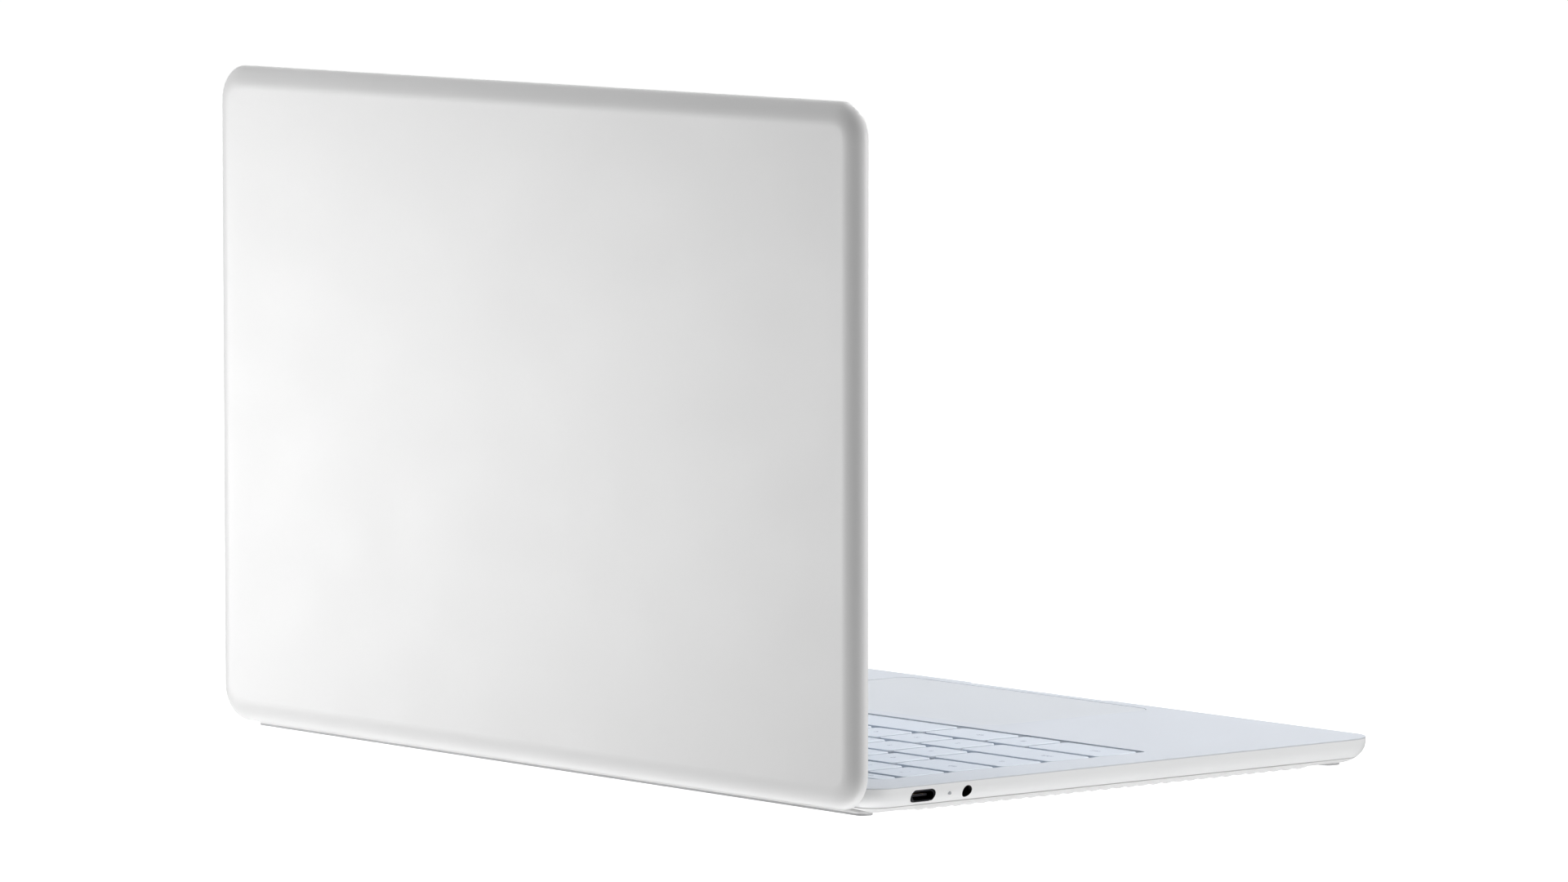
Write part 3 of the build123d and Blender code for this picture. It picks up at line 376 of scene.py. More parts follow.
# %% Dress the CAD nodes
CARRIED = {
    satin_white: ["lid_cover"],
    deck_paint: ["top_case"],
    pad_finish: ["trackpad_glass"],
    slate_paint: ["keyboard_plate", "key_membrane", "trackpad_bracket"],
    foot_rubber: ["front_foot", "rear_foot"],
    gasket_rubber: ["bezel_gasket"],
    hinge_plastic: ["lid_hinge_strip"],
    dome_rubber: ["key_domes"],
    light_pipe: ["status_lights"],
    black_glass: ["cover_glass", "display_panel"],
    cell_foil: ["battery_cells"],
    copper: ["heat_spreader", "wifi_aerials"],
    dark_nickel: ["usb_c_port_left", "usb_c_port_right"],
    circuit_board: ["mainboard", "battery_board", "trackpad_board", "display_board"],
    black_plastic: [
        "speaker_left", "speaker_right", "headphone_jack", "camera_module", "microphones",
    ],
    steel: [
        "cover_screws", "board_screws", "hinge_leaf_screws", "lid_bracket_screws",
        "hinge_leaf_left", "hinge_leaf_right", "hinge_washers", "hinge_pins",
        "lid_bracket_left", "lid_bracket_right", "lid_magnets",
    ],
}
for material, names in CARRIED.items():
    for name in names:
        nodes[name].data.materials.clear()
        nodes[name].data.materials.append(material)
print("CAD nodes dressed:", sum(len(names) for names in CARRIED.values()))

# %% [markdown]
# ## Building blocks
# Almost every shape here is a loft: a stack of outlines with the same number of points, joined
# side by side and closed at both ends. `settle` merges doubles, turns every face outwards and
# hands back a smooth mesh, and `add_piece` puts it on its CAD body.


# %% Mesh helpers
def rounded(x0, x1, y0, y1, radius, steps=6):
    """Points anticlockwise round a rectangle with rounded corners."""
    centres = [
        (x1 - radius, y1 - radius), (x0 + radius, y1 - radius),
        (x0 + radius, y0 + radius), (x1 - radius, y0 + radius),
    ]
    points = []
    for quarter, (x, y) in enumerate(centres):
        for step in range(steps + 1):
            angle = (quarter + step / steps) * pi / 2
            points.append((x + radius * cos(angle), y + radius * sin(angle)))
    return points


def loft(form, rings):
    """Adds stacked rings to a bmesh, with a face between neighbours and one at each end."""
    loops = [[form.verts.new(point) for point in ring] for ring in rings]
    count = len(loops[0])
    for low, high in zip(loops, loops[1:]):
        for i in range(count):
            j = (i + 1) % count
            form.faces.new((low[i], low[j], high[j], high[i]))
    form.faces.new(list(reversed(loops[0])))
    form.faces.new(loops[-1])


def settle(form, name):
    """Merges doubles, points faces outwards and turns the bmesh into a smooth mesh."""
    bmesh.ops.remove_doubles(form, verts=form.verts, dist=1e-7)
    bmesh.ops.dissolve_degenerate(form, edges=form.edges, dist=1e-8)
    bmesh.ops.recalc_face_normals(form, faces=form.faces)
    for face in form.faces:
        face.smooth = True
    mesh = bpy.data.meshes.new(name)
    form.to_mesh(mesh)
    form.free()
    return mesh


def add_piece(name, mesh, material, body, replaced=()):
    """Shows a finished mesh, with its finish and the CAD body that it rides on."""
    mesh.materials.clear()
    mesh.materials.append(material)
    piece = bpy.data.objects.new(name, mesh)
    bpy.context.scene.collection.objects.link(piece)
    if replaced:
        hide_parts(*replaced)
    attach(piece, body)
    return piece


def grow_tree(name, numbers):
    """An empty Geometry Nodes tree: a mesh in, named numbers and a finish, and a mesh out."""
    tree = bpy.data.node_groups.new(name, "GeometryNodeTree")
    ports = tree.interface
    ports.new_socket("Geometry", in_out="INPUT", socket_type="NodeSocketGeometry")
    keys = {}
    for title, kind in [*numbers, ("Finish", "Material")]:
        made = ports.new_socket(title, in_out="INPUT", socket_type="NodeSocket" + kind)
        keys[title] = made.identifier
    ports.new_socket("Geometry", in_out="OUTPUT", socket_type="NodeSocketGeometry")
    entry = tree.nodes.new("NodeGroupInput")
    given = {socket.name: Term(tree, socket) for socket in entry.outputs if socket.name}
    return tree, keys, given


def close_tree(given, shape):
    """Ends a tree in real geometry with its finish set."""
    real = shape.node("GeometryNodeRealizeInstances", {}, {0: shape})
    dressed = real.node("GeometryNodeSetMaterial", {}, {"Geometry": real, "Material": given["Finish"]})
    dressed.node("NodeGroupOutput", {}, {0: dressed})


def run_tree(tree, keys, mesh, values):
    """Runs a tree over a mesh with its named inputs set, and returns the plain mesh it makes."""
    carrier = bpy.data.objects.new("carrier", mesh)
    modifier = carrier.modifiers.new("tree", "NODES")
    modifier.node_group = tree
    for title, value in values.items():
        modifier[keys[title]] = value
    bpy.context.scene.collection.objects.link(carrier)
    graph = bpy.context.evaluated_depsgraph_get()
    made = bpy.data.meshes.new_from_object(carrier.evaluated_get(graph))
    carrier.modifiers.clear()
    bpy.data.objects.remove(carrier)
    return made


# %% [markdown]
# ## The rippled underside
# The bottom cover turns in from the flanks on a quarter ellipse, and it is ribbed from front to
# back by shallow waves that run the full width. Over the ribbed length its edge is fuller: it
# drops almost straight from the parting line, so that each rib ends in a small round nose and
# the lower edge looks scalloped from the side. That is a rule, so the cover is one fine skin, in
# rings that follow the rounded outline, and a Geometry Nodes tree moves each of its points.

# %% Sizes of the bottom cover
NOSE_RADIUS = 2.15 * MM
RIPPLE_SETBACK = 25.0 * MM
PARTING_GAP = 0.12 * MM
EDGE_INSET = 9.0 * MM
EDGE_TOP = 1.3 * MM
CORNER = 10.0 * MM
PARTING_LOW = PARTING - PARTING_GAP / 2
WALL = 1.4 * MM
FLOOR = 2.2 * MM
REAR_LEAN = 3.0406 * MM
RIPPLE_PITCH = 4.89 * MM
RIPPLE_DEPTH = 0.5 * MM
RIPPLE_COUNT = 33
RIB_END = 1.8 * MM
STEPS_PER_WAVE = 12
STEPS_AHEAD = 30
CORNER_STEPS = 8
LEAST_RADIUS = 0.2 * MM
RINGS = 28
RING_CROWDING = 1.5
case_half_x = case_high.x
case_front_y = case_low.y
underside_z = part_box("bottom_cover")[0].z
edge_top_z = case_high.z - EDGE_TOP
nose_end_y = hinge_y + NOSE_RADIUS
ripple_start_y = case_front_y + RIPPLE_SETBACK
rear_low_y = hinge_y + REAR_LEAN - hinge["pos_m"][2]


def edge_height(inset):
    """How high the flank's ellipse is, at a distance in from the outline."""
    across = 1 - min(inset / EDGE_INSET, 1)
    return edge_top_z - (edge_top_z - underside_z) * sqrt(1 - across * across)


def rim_inset():
    """How far in the outline lies where the ellipse passes the parting line."""
    drop = (edge_top_z - PARTING_LOW) / (edge_top_z - underside_z)
    return EDGE_INSET * (1 - sqrt(1 - drop * drop))


rim = rim_inset()
print("the parting line lies", round(rim / MM, 2), "mm in from the outline")


# %% The skin before its ripples
def half_outline(inset):
    """Points of the left side at that inset, from the front corner to the rear one."""
    radius = max(CORNER - inset, LEAST_RADIUS)
    x = -case_half_x + CORNER
    y0, y1 = case_front_y + CORNER, nose_end_y - CORNER
    turn = [step / CORNER_STEPS * pi / 2 for step in range(CORNER_STEPS + 1)]
    points = [(x - radius * sin(a), y0 - radius * cos(a)) for a in turn]
    pitch = RIPPLE_PITCH / STEPS_PER_WAVE
    y = ripple_start_y - STEPS_AHEAD * pitch
    while y < y1 - pitch:
        if y > y0 + pitch:
            points.append((x - radius, y))
        y += pitch
    return points + [(x - radius * cos(a), y1 + radius * sin(a)) for a in turn]


def ring(inset, height, rear_y):
    """The whole outline at that inset: the left side, then the right side back again."""
    left = [(x, min(y, rear_y)) for x, y in half_outline(inset)]
    both = left + [(-x, y) for x, y in reversed(left)]
    return [(x, y, height(inset, y)) for x, y in both]


def skin_height(inset, y):
    """The flank's ellipse, or the slope behind it where that is higher."""
    return max(edge_height(inset), y - rear_low_y)


def rib_drop(inset):
    """How far the fuller edge of the ribbed length stands out below the ellipse."""
    across = 1 - min((inset - rim) / RIB_END, 1)
    rib = underside_z + (PARTING_LOW - underside_z) * (1 - sqrt(1 - across * across))
    return max(edge_height(inset) - rib, 0)


def make_skin():
    """The closed cover, with its outer skin marked for the tree."""
    rear_y = PARTING_LOW + rear_low_y
    levels = [rim + (EDGE_INSET - rim) * (step / RINGS) ** RING_CROWDING for step in range(RINGS + 1)]
    rings = [
        ring(rim + WALL, lambda d, y: FLOOR, rear_y - WALL),
        ring(rim + WALL, lambda d, y: PARTING_LOW, rear_y - WALL),
        ring(rim, lambda d, y: PARTING_LOW, rear_y),
    ]
    rings += [ring(inset, skin_height, rear_y) for inset in levels[1:]]
    form = bmesh.new()
    mark = form.verts.layers.float.new("skin")
    drop = form.verts.layers.float.new("drop")
    loops = [[form.verts.new(point) for point in points] for points in rings]
    for loop, inset in zip(loops[3:], levels[1:]):
        for vert in loop:
            vert[mark] = 1.0
            vert[drop] = rib_drop(inset)
    count = len(loops[0])
    half = count // 2
    for low, high in zip(loops, loops[1:]):
        for i in range(count):
            j = (i + 1) % count
            form.faces.new((low[i], low[j], high[j], high[i]))
    for loop in (loops[0], loops[-1]):
        for i in range(half - 1):
            form.faces.new((loop[i], loop[i + 1], loop[count - 2 - i], loop[count - 1 - i]))
    return settle(form, "skin")


# %% The tree that ripples it
NUMBERS = [
    ("Pitch", "Float"), ("Depth", "Float"), ("Start", "Float"), ("Waves", "Int"), ("Underside", "Float"),
]
tree, keys, given = grow_tree("ripples", NUMBERS)
start = Term(tree)
place = start.node("GeometryNodeInputPosition")
y = place.part(1)
phase = (y - given["Start"]) / given["Pitch"]
trough = 0.5 - 0.5 * start.sum("COSINE", phase * (2 * pi))
inside = start.sum("GREATER_THAN", phase, 0.0) * start.sum("LESS_THAN", phase, given["Waves"])
fade = (2 * phase).clamped() * (2 * (given["Waves"] - phase)).clamped()
drop = start.node("GeometryNodeInputNamedAttribute", {"data_type": "FLOAT"}, {"Name": "drop"})
ribbed = place.part(2) - drop * fade
level = start.sum("MAXIMUM", ribbed, given["Underside"] + given["Depth"] * trough * inside)
target = start.node("ShaderNodeCombineXYZ", {}, {0: place.part(0), 1: y, 2: level})
skin = start.node("GeometryNodeInputNamedAttribute", {"data_type": "FLOAT"}, {"Name": "skin"})
chosen = start.sum("GREATER_THAN", skin, 0.5)
moved = start.node(
    "GeometryNodeSetPosition", {},
    {"Geometry": given["Geometry"], "Selection": chosen, "Position": target},
)
close_tree(given, moved)
rippled = run_tree(tree, keys, make_skin(), {
    "Pitch": RIPPLE_PITCH, "Depth": RIPPLE_DEPTH, "Start": ripple_start_y,
    "Waves": RIPPLE_COUNT, "Underside": underside_z, "Finish": cover_paint,
})
print("rippled skin:", len(rippled.polygons), "faces")

# %% [markdown]
# The two feet are glued to flat rails that stand level with the ribs. Each rail is a rounded
# strip a little larger than its foot, let into the skin.

# %% Foot rails and the finished cover
RAIL_MARGIN = 0.3 * MM
RAIL_HEIGHT = 1.1 * MM
RAIL_BEVEL = 0.08 * MM
RAIL_STEPS = 10
LET_IN = 0.002 * MM
HAIR = 0.001 * MM


def rail_rings(foot):
    """Rings of one rail, round the foot that it carries."""
    low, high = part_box(foot)
    x, y0, y1 = high.x + RAIL_MARGIN, low.y - RAIL_MARGIN, high.y + RAIL_MARGIN
    z0, z1 = underside_z - LET_IN, underside_z + RAIL_HEIGHT
    profile = [(z0, RAIL_BEVEL), (z0 + RAIL_BEVEL, 0), (z1 - RAIL_BEVEL, 0), (z1, RAIL_BEVEL)]
    rings = []
    for z, inset in profile:
        radius = (y1 - y0) / 2 - inset - HAIR
        outline = rounded(-x + inset, x - inset, y0 + inset, y1 - inset, radius, RAIL_STEPS)
        rings.append([(px, py, z) for px, py in outline])
    return rings


form = bmesh.new()
form.from_mesh(rippled)
for foot in ("front_foot", "rear_foot"):
    loft(form, rail_rings(foot))
cover_mesh = settle(form, "rippled_cover")
add_piece("rippled_cover", cover_mesh, cover_paint, "base", ["bottom_cover"])
print("bottom cover:", len(cover_mesh.polygons), "faces")

# %% [markdown]
# ## Key caps
# A key cap is a thin moulded tile with round corners and a soft upper edge. Caps of one size
# are the same, so each size is made once as a loft, and a Geometry Nodes tree sets it at the
# middle of every cap of that size. The places and sizes are read from the CAD caps, which are
# separate islands in each key node's mesh.

# %% Find the separate caps of a node
CAP_CORNER = 1.75 * MM
CAP_EDGE = 0.3 * MM
CAP_FOOT = 0.1 * MM


def islands(node):
    """(lowest, highest) corner of each separate solid of a CAD node, from left to right."""
    form = bmesh.new()
    form.from_mesh(nodes[node].data)
    bmesh.ops.remove_doubles(form, verts=form.verts, dist=1e-6)
    todo, found = set(form.verts), []
    while todo:
        front = [todo.pop()]
        group = list(front)
        while front:
            vert = front.pop()
            for edge in vert.link_edges:
                other = edge.other_vert(vert)
                if other in todo:
                    todo.remove(other)
                    front.append(other)
                    group.append(other)
        places = [vert.co for vert in group]
        low = Vector([min(p[axis] for p in places) for axis in range(3)])
        high = Vector([max(p[axis] for p in places) for axis in range(3)])
        found.append((low, high))
    form.free()
    return sorted(found, key=lambda pair: (round(pair[0].x, 4), pair[0].y))


def cap_mesh(width, depth, height):
    """One cap, standing on its own origin."""
    turn = [step * pi / 8 for step in range(5)]
    edge = [(height - CAP_EDGE * (1 - sin(a)), CAP_EDGE * (1 - cos(a))) for a in turn]
    profile = [(0, CAP_FOOT), (CAP_FOOT, 0), (2 * CAP_FOOT, 0), (height - 1.5 * CAP_EDGE, 0)]
    profile += edge + [(height, 1.4 * CAP_EDGE)]
    corner = min(CAP_CORNER, depth / 3)
    rings = []
    for z, inset in profile:
        x, y = width / 2 - inset, depth / 2 - inset
        rings.append([(px, py, z) for px, py in rounded(-x, x, -y, y, corner - inset)])
    form = bmesh.new()
    loft(form, rings)
    return settle(form, "cap")


# %% The tree that sets caps on points
tree, keys, given = grow_tree("caps_on_points", [("Cap", "Object")])
start = Term(tree)
cap = start.node("GeometryNodeObjectInfo", {}, {"Object": given["Cap"]}, 4)
set_out = start.node("GeometryNodeInstanceOnPoints", {}, {"Points": given["Geometry"], "Instance": cap})
close_tree(given, set_out)


def caps_of_size(size, places):
    """Caps of one size at all their places, as a plain mesh."""
    cap = bpy.data.objects.new("cap", cap_mesh(*size))
    points = bpy.data.meshes.new("places")
    points.from_pydata(places, [], [])
    made = run_tree(tree, keys, points, {"Cap": cap, "Finish": key_plastic})
    bpy.data.objects.remove(cap)
    return made


# %% Make every key
KEY_NODES = [
    "function_keys", "power_key", "number_row_keys", "backspace_key", "tab_key", "q_row_keys",
    "search_key", "a_row_keys", "enter_key", "left_shift_key", "z_row_keys", "right_shift_key",
    "modifier_keys", "space_bar", "arrow_keys",
]
caps = {node: islands(node) for node in KEY_NODES}
for node, found in caps.items():
    sizes = {}
    for low, high in found:
        size = tuple(round(v, 6) for v in high - low)
        sizes.setdefault(size, []).append(((low.x + high.x) / 2, (low.y + high.y) / 2, low.z))
    form = bmesh.new()
    for size, places in sizes.items():
        form.from_mesh(caps_of_size(size, places))
    mesh = settle(form, node)
    add_piece("caps_" + node, mesh, key_plastic, node, [node])
print("caps:", sum(len(found) for found in caps.values()))

# %% [markdown]
# ## Legends
# The lettering is the common layout in small grey characters: a letter in the middle of a
# letter key, two characters one above the other on the number row, a short word to one side of
# a wide key. Letters are text objects turned into very thin slabs; the pictures on the function
# and arrow keys are short strokes in a unit square.

# %% What each key says
INK_RISE = 0.015 * MM
INK_SINK = 0.005 * MM
LETTER = 3.4 * MM
WORD = 2.7 * MM
PAIR = 2.7 * MM
PAIR_SHIFT = 2.1 * MM
WORD_INSET = 8.0 * MM
ICON = 1.15 * MM
STROKE = 0.13
WORDS = {
    "number_row_keys": ["~`", "!1", "@2", "#3", "$4", "%5", "^6", "&7", "*8", "(9", ")0", "_-", "+="],
    "q_row_keys": [*"qwertyuiop", "{[", "}]", "|\\"],
    "a_row_keys": [*"asdfghjkl", ":;", "\"'"],
    "z_row_keys": [*"zxcvbnm", "<,", ">.", "?/"],
    "backspace_key": ["backspace"],
    "tab_key": ["tab"],
    "enter_key": ["enter"],
    "left_shift_key": ["shift"],
    "right_shift_key": ["shift"],
    "modifier_keys": ["ctrl", "[ring]", "alt", "alt", "ctrl"],
    "search_key": ["[find]"],
    "function_keys": [
        "esc", "[back]", "[reload]", "[full]", "[windows]", "[shot]", "[dim]", "[bright]",
        "[lamp]", "[play]", "[mute]", "[quiet]", "[loud]",
    ],
    "power_key": ["[power]"],
    "arrow_keys": ["[left]", "[down]", "[up]", "[right]"],
}


def arc(radius, start, end, x=0.0, y=0.0, steps=14):
    """Points along part of a circle, in degrees."""
    angles = [radians(start + (end - start) * step / steps) for step in range(steps + 1)]
    return [(x + radius * cos(a), y + radius * sin(a)) for a in angles]


def frame_of(x, y):
    """A closed rectangle of strokes."""
    return [(-x, -y), (x, -y), (x, y), (-x, y), (-x, -y)]


def sun(radius, near, far):
    """A circle with eight rays."""
    turns = [turn * pi / 4 for turn in range(8)]
    rays = [[(near * cos(a), near * sin(a)), (far * cos(a), far * sin(a))] for a in turns]
    return [arc(radius, 0, 360)] + rays


HORN = [
    (-1.0, -0.35), (-0.55, -0.35), (-0.1, -0.8), (-0.1, 0.8), (-0.55, 0.35), (-1.0, 0.35),
    (-1.0, -0.35),
]
ICONS = {
    "[back]": [[(1, 0), (-1, 0)], [(-0.3, 0.7), (-1, 0), (-0.3, -0.7)]],
    "[reload]": [arc(0.8, 50, 350), [(0.25, 0.85), (0.62, 0.55), (0.8, 1.0)]],
    "[full]": [frame_of(1.1, 0.8), [(0.2, 0.1), (0.6, 0.4)], [(-0.2, -0.1), (-0.6, -0.4)]],
    "[windows]": [frame_of(0.8, 0.7), [(1.15, -0.7), (1.15, 0.7)], [(1.45, -0.5), (1.45, 0.5)]],
    "[shot]": [frame_of(1.1, 0.75), arc(0.4, 0, 360)],
    "[dim]": sun(0.3, 0.55, 0.75),
    "[bright]": sun(0.42, 0.7, 1.05),
    "[lamp]": [arc(0.6, -50, 230), [(-0.3, -0.75), (0.3, -0.75)], [(-0.2, -1.0), (0.2, -1.0)]],
    "[play]": [
        [(-1, 0.7), (-0.1, 0), (-1, -0.7), (-1, 0.7)], [(0.4, 0.7), (0.4, -0.7)],
        [(0.8, 0.7), (0.8, -0.7)],
    ],
    "[mute]": [HORN, [(0.3, 0.35), (1.0, -0.35)], [(0.3, -0.35), (1.0, 0.35)]],
    "[quiet]": [HORN, arc(0.5, -45, 45)],
    "[loud]": [HORN, arc(0.5, -45, 45), arc(0.9, -45, 45)],
    "[power]": [arc(0.8, 125, 415), [(0, 0.3), (0, 1.05)]],
    "[find]": [arc(0.65, 0, 360, -0.15, 0.15), [(0.32, -0.32), (0.85, -0.85)]],
    "[ring]": [arc(0.75, 0, 360), arc(0.3, 0, 360)],
    "[left]": [[(0.5, 0.7), (-0.5, 0), (0.5, -0.7), (0.5, 0.7)]],
    "[right]": [[(-0.5, 0.7), (0.5, 0), (-0.5, -0.7), (-0.5, 0.7)]],
    "[up]": [[(-0.7, -0.5), (0, 0.5), (0.7, -0.5), (-0.7, -0.5)]],
    "[down]": [[(-0.7, 0.5), (0, -0.5), (0.7, 0.5), (-0.7, 0.5)]],
}


# %% Letters and pictures as thin slabs
def text_object(words, x, y, top, size, align):
    """A text object whose slab stands a hair above the cap."""
    curve = bpy.data.curves.new("legend", "FONT")
    curve.body, curve.size = words, size
    curve.align_x, curve.align_y = align, "CENTER"
    curve.resolution_u = 3
    curve.extrude = (INK_RISE + INK_SINK) / 2
    thing = bpy.data.objects.new("legend", curve)
    thing.location = (x, y, top + (INK_RISE - INK_SINK) / 2)
    bpy.context.scene.collection.objects.link(thing)
    return thing


def add_stroke(form, a, b, x, y, top):
    """One straight stroke of a picture, with square ends."""
    start, end = Vector(a) * ICON, Vector(b) * ICON
    along = (end - start).normalized() * STROKE * ICON / 2
    across = Vector((-along.y, along.x))
    corners = [start - along - across, end + along - across, end + along + across, start - along + across]
    loft(form, [[(x + c.x, y + c.y, z) for c in corners] for z in (top - INK_SINK, top + INK_RISE)])


def words_on(node, low, high, words):
    """The text objects for one key's lettering."""
    x, y, top = (low.x + high.x) / 2, (low.y + high.y) / 2, high.z
    if len(words) == 1:
        return [text_object(words, x, y, top, LETTER, "CENTER")]
    if len(words) == 2:
        return [
            text_object(words[0], x, y + PAIR_SHIFT, top, PAIR, "CENTER"),
            text_object(words[1], x, y - PAIR_SHIFT, top, PAIR, "CENTER"),
        ]
    if high.x - low.x < 2 * WORD_INSET + WORD:
        return [text_object(words, x, y, top, WORD, "CENTER")]
    if x < 0:
        return [text_object(words, low.x + WORD_INSET, y, top, WORD, "LEFT")]
    return [text_object(words, high.x - WORD_INSET, y, top, WORD, "RIGHT")]


# %% Print the legends
prints, pictures = {}, {}
for node, sayings in WORDS.items():
    prints[node], pictures[node] = [], bmesh.new()
    for (low, high), words in zip(caps[node], sayings):
        if words in ICONS:
            x, y = (low.x + high.x) / 2, (low.y + high.y) / 2
            if words == "[find]":
                x = low.x + WORD_INSET + ICON
            for stroke in ICONS[words]:
                for a, b in zip(stroke, stroke[1:]):
                    add_stroke(pictures[node], a, b, x, y, high.z)
        else:
            prints[node] += words_on(node, low, high, words)
graph = bpy.context.evaluated_depsgraph_get()
for node, things in prints.items():
    form = pictures[node]
    for thing in things:
        mesh = bpy.data.meshes.new_from_object(thing.evaluated_get(graph))
        mesh.transform(Matrix.Translation(thing.location))
        form.from_mesh(mesh)
    for thing in things:
        bpy.data.objects.remove(thing)
    mesh = settle(form, "legends_" + node)
    mesh.shade_flat()
    add_piece("legends_" + node, mesh, key_ink, node)
print("keys with legends:", sum(len(sayings) for sayings in WORDS.values()))

# %% [markdown]
# ## Screen, camera and microphones
# Behind the cover glass lies the display. Its picture is a thin plate that stands a few
# hundredths of a millimetre proud of the glass, so the black border round it shows as it does on
# a real screen. Above it are the camera's window, its small light and two microphone holes.

# %% The lit picture and what is above it
PICTURE_WIDTH = 294.0 * MM
PICTURE_HEIGHT = 165.4 * MM
PICTURE_CORNER = 1.5 * MM
PROUD = 0.03 * MM
WINDOW_RADIUS = 2.1 * MM
LENS_RADIUS = 1.3 * MM
HOLE_RADIUS = 0.45 * MM
HOLE_PLACES = (-24.0 * MM, 5.5 * MM, 24.0 * MM)
camera_low, camera_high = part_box("camera_module")
face_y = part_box("cover_glass")[0].y
camera_z = (camera_low.z + camera_high.z) / 2
picture_z = (screen_low.z + screen_high.z) / 2


def slab_on_glass(form, outline, proud):
    """A thin plate on the front of the glass, from an outline of (x, z) points."""
    loft(form, [[(x, y, z) for x, z in outline] for y in (face_y + PROUD, face_y - proud)])


def circle(radius, x, z, steps=40):
    """Points round a circle on the glass."""
    return arc(radius, 0, 360 - 360 / steps, x, z, steps - 1)


half_x, half_z = PICTURE_WIDTH / 2, PICTURE_HEIGHT / 2
form = bmesh.new()
outline = rounded(-half_x, half_x, picture_z - half_z, picture_z + half_z, PICTURE_CORNER)
slab_on_glass(form, outline, PROUD)
picture = settle(form, "lit_screen")
picture.shade_flat()
add_piece("lit_screen", picture, lit_picture, "lid")

form = bmesh.new()
slab_on_glass(form, circle(WINDOW_RADIUS, 0, camera_z), 0.5 * PROUD)
slab_on_glass(form, circle(LENS_RADIUS, 0, camera_z), PROUD)
window = settle(form, "camera_window")
window.shade_flat()
add_piece("camera_window", window, lens_glass, "lid")

form = bmesh.new()
for x in HOLE_PLACES:
    slab_on_glass(form, circle(HOLE_RADIUS, x, camera_z, 20), PROUD)
holes = settle(form, "microphone_holes")
holes.shade_flat()
add_piece("microphone_holes", holes, slate_paint, "lid")
print("picture on the glass:", [round(v / MM, 1) for v in (PICTURE_WIDTH, PICTURE_HEIGHT)])

# %% [markdown]
# ## Gold contacts in the ports
# The tongue of a USB-C port carries twelve flat contacts on each side, half a millimetre apart.
# A row that repeats is a job for Geometry Nodes: one bar is set on each point, and the points
# are the middles of the contacts on both sides of both tongues.

# %% The tree that sets bars on points
CONTACTS = 12
CONTACT_PITCH = 0.5 * MM
CONTACT_SIZE = (2.6 * MM, 0.24 * MM, 0.03 * MM)
TONGUE_HALF = 0.35 * MM
TONGUE_TIP = 2.1 * MM
TIP_MARGIN = 0.2 * MM
tree, keys, given = grow_tree("bars_on_points", [("Size", "Vector")])
start = Term(tree)
bar = start.node("GeometryNodeMeshCube", {}, {"Size": given["Size"]})
set_out = start.node("GeometryNodeInstanceOnPoints", {}, {"Points": given["Geometry"], "Instance": bar})
close_tree(given, set_out)
places = []
for side, port in ((-1, "usb_c_port_left"), (1, "usb_c_port_right")):
    low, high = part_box(port)
    mouth = low.x if side < 0 else high.x
    x = mouth - side * (TONGUE_TIP + TIP_MARGIN + CONTACT_SIZE[0] / 2)
    middle_y, middle_z = (low.y + high.y) / 2, (low.z + high.z) / 2
    for number in range(CONTACTS):
        y = middle_y + (number - (CONTACTS - 1) / 2) * CONTACT_PITCH
        places += [(x, y, middle_z - TONGUE_HALF), (x, y, middle_z + TONGUE_HALF)]
points = bpy.data.meshes.new("contact_places")
points.from_pydata(places, [], [])
bars = run_tree(tree, keys, points, {"Size": CONTACT_SIZE, "Finish": gold})
form = bmesh.new()
form.from_mesh(bars)
contacts = settle(form, "port_contacts")
contacts.shade_flat()
add_piece("port_contacts", contacts, gold, "base")
print("contacts:", len(places))

# %% [markdown]
# ## Light, floor and camera
# The lid is a matte white plane, so its look is all in the light: one soft box close to its far
# end makes it fade from bright to grey across its width. The others light the flank, the deck
# and the keys, the underside's edge and the top edge. A dim sky fills in. The floor and the wall
# are pale and glow, so that hardly any shadow shows under the feet.


# %% Sky and soft boxes
SOFT_BOXES = [
    ("lid_light", (0.68, 0.58, 0.03), (0.0, 0.1, 0.1), (0.45, 0.3), 4.05),
    ("flank_light", (-1.3, -0.35, 0.3), (-0.1, -0.02, 0.0), (0.8, 0.5), 9.8),
    ("deck_light", (0.1, -0.9, 1.1), (0.0, -0.05, 0.0), (0.9, 0.6), 15.0),
    ("low_light", (0.0, 0.26, -1.0), (0.0, 0.1, 0.0), (1.2, 0.6), 11.0),
    ("top_light", (0.2, 0.25, 1.1), (0.0, 0.1, 0.2), (0.8, 0.4), 3.2),
]
SKY_LOW = (0.22, 0.22, 0.22, 1)
SKY_HIGH = (0.16, 0.16, 0.16, 1)
FLOOR_GLOW, FLOOR_WHITE = 0.96, 0.35
WALL_GLOW, WALL_WHITE = 1.0, 0.0


def soft_box(name, place, aim, size, watts):
    """A rectangular area light, turned to face a point."""
    lamp = bpy.data.lights.new(name, "AREA")
    lamp.shape, lamp.size, lamp.size_y = "RECTANGLE", *size
    lamp.energy = watts
    thing = bpy.data.objects.new(name, lamp)
    thing.location = place
    thing.rotation_euler = (Vector(aim) - Vector(place)).to_track_quat("-Z", "Y").to_euler()
    thing.visible_camera = False
    bpy.context.scene.collection.objects.link(thing)


def glowing(name, glow, white):
    """A pale stage finish: some of its brightness is its own."""
    own = {"Specular IOR Level": 0.0, "Emission Color": (1, 1, 1, 1), "Emission Strength": glow}

    def dress(place):
        return {**grained(place, (white, white, white), 0.01, 0.9, 0.05, 0.02, 0.0), **own}

    return finish(name, dress)


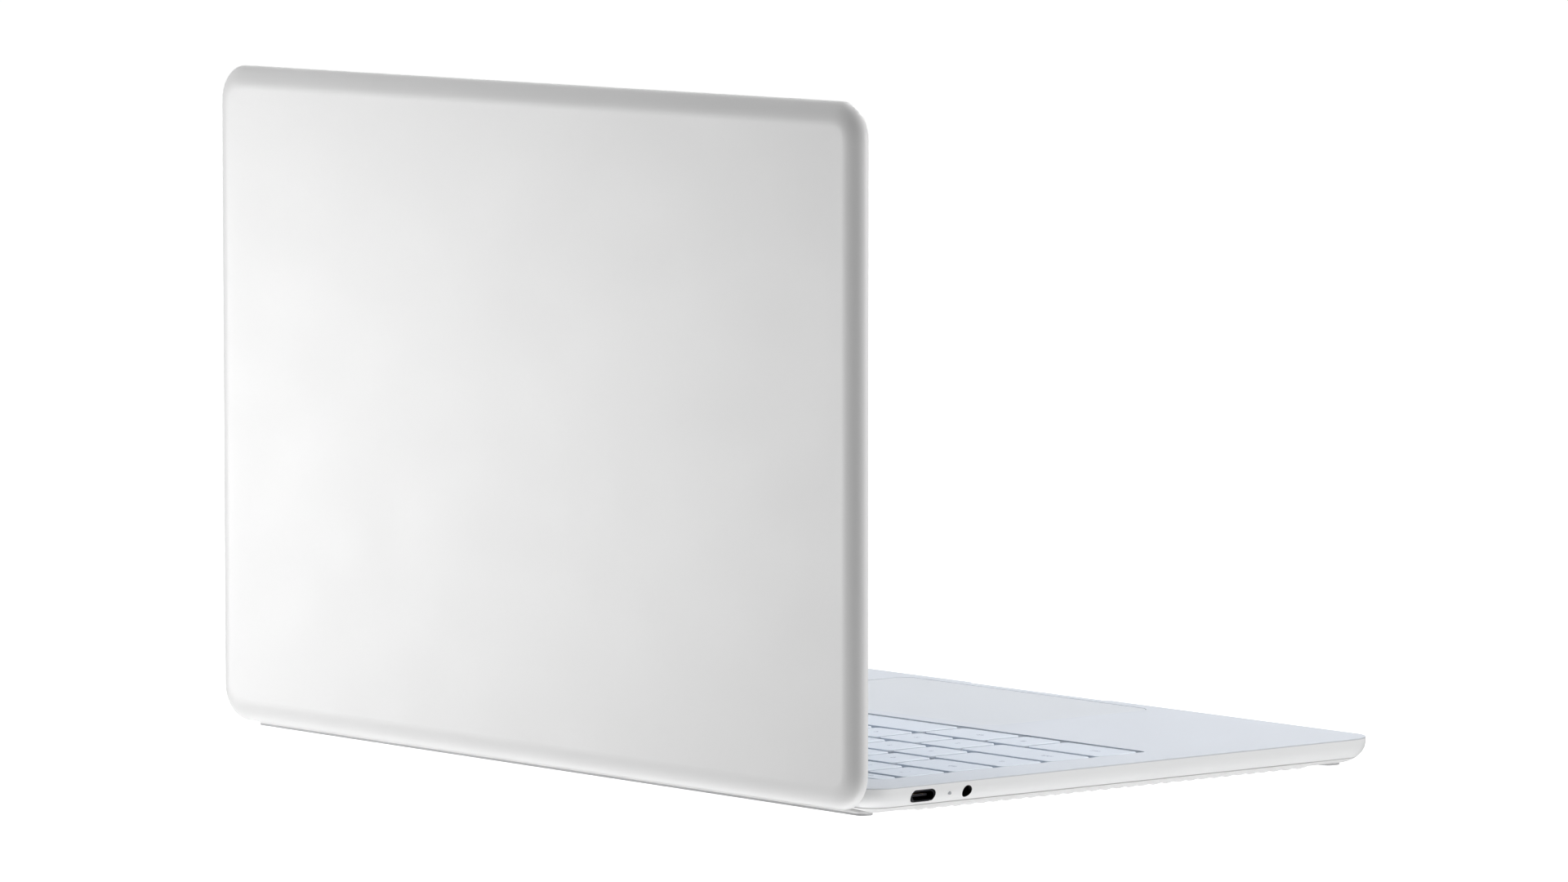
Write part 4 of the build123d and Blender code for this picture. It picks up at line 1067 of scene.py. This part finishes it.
sky = bpy.data.worlds.new("sky")
sky.use_nodes = True
sky.node_tree.nodes.clear()
start = Term(sky.node_tree)
height = start.node("ShaderNodeTexCoord", output="Generated").part(2)
shade = height.ramp(-0.4, 0.4).mix(SKY_LOW, SKY_HIGH)
light = start.node("ShaderNodeBackground", {}, {"Color": shade, "Strength": 1.0})
start.node("ShaderNodeOutputWorld", {}, {"Surface": light})
bpy.context.scene.world = sky
bpy.context.scene.view_settings.view_transform = "Standard"
for box in SOFT_BOXES:
    soft_box(*box)
print("soft boxes:", len(SOFT_BOXES))

# %% Floor and wall
STAGE = 30.0
FLOOR_THICKNESS = 0.05
form = bmesh.new()
loft(form, [[(x, y, z) for x, y in arc(STAGE, 0, 350, steps=35)] for z in (-FLOOR_THICKNESS, 0.0)])
floor = bpy.data.objects.new("floor", settle(form, "floor"))
floor.data.shade_flat()
floor.data.materials.append(glowing("floor_white", FLOOR_GLOW, FLOOR_WHITE))
profile = [(STAGE * 0.99, -0.02), (STAGE * 0.99, STAGE), (STAGE * 0.4, STAGE * 1.5)]
form = bmesh.new()
loft(form, [[(x, y, z) for x, y in arc(radius, 0, 350, steps=35)] for radius, z in profile])
wall = bpy.data.objects.new("wall", settle(form, "wall"))
wall.data.materials.append(glowing("wall_white", WALL_GLOW, WALL_WHITE))
for thing in (floor, wall):
    thing.visible_diffuse = thing.visible_glossy = thing.visible_shadow = False
    bpy.context.scene.collection.objects.link(thing)
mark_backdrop(floor, wall)
print("floor and wall:", len(floor.data.polygons), "and", len(wall.data.polygons), "faces")

# %% Camera
EYE = (-2.16864, 1.815315, 0.34329)
AIM = (0.003644, -0.001125, 0.094106)
LENS, SENSOR = 210.8, 36.0
camera = bpy.data.cameras.new("camera")
camera.lens, camera.sensor_width = LENS, SENSOR
camera.clip_start, camera.clip_end = 0.05, 200.0
viewer = bpy.data.objects.new("camera", camera)
viewer.location = EYE
viewer.rotation_euler = (Vector(AIM) - Vector(EYE)).to_track_quat("-Z", "Y").to_euler()
bpy.context.scene.collection.objects.link(viewer)
bpy.context.scene.camera = viewer

# %% Gather the sizes and finish
sizes = {"cad": [list(corner) for corner in cad_box], "visual": [list(corner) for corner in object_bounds()]}
print("visual box in mm:", [[round(v / MM, 2) for v in corner] for corner in sizes["visual"]])
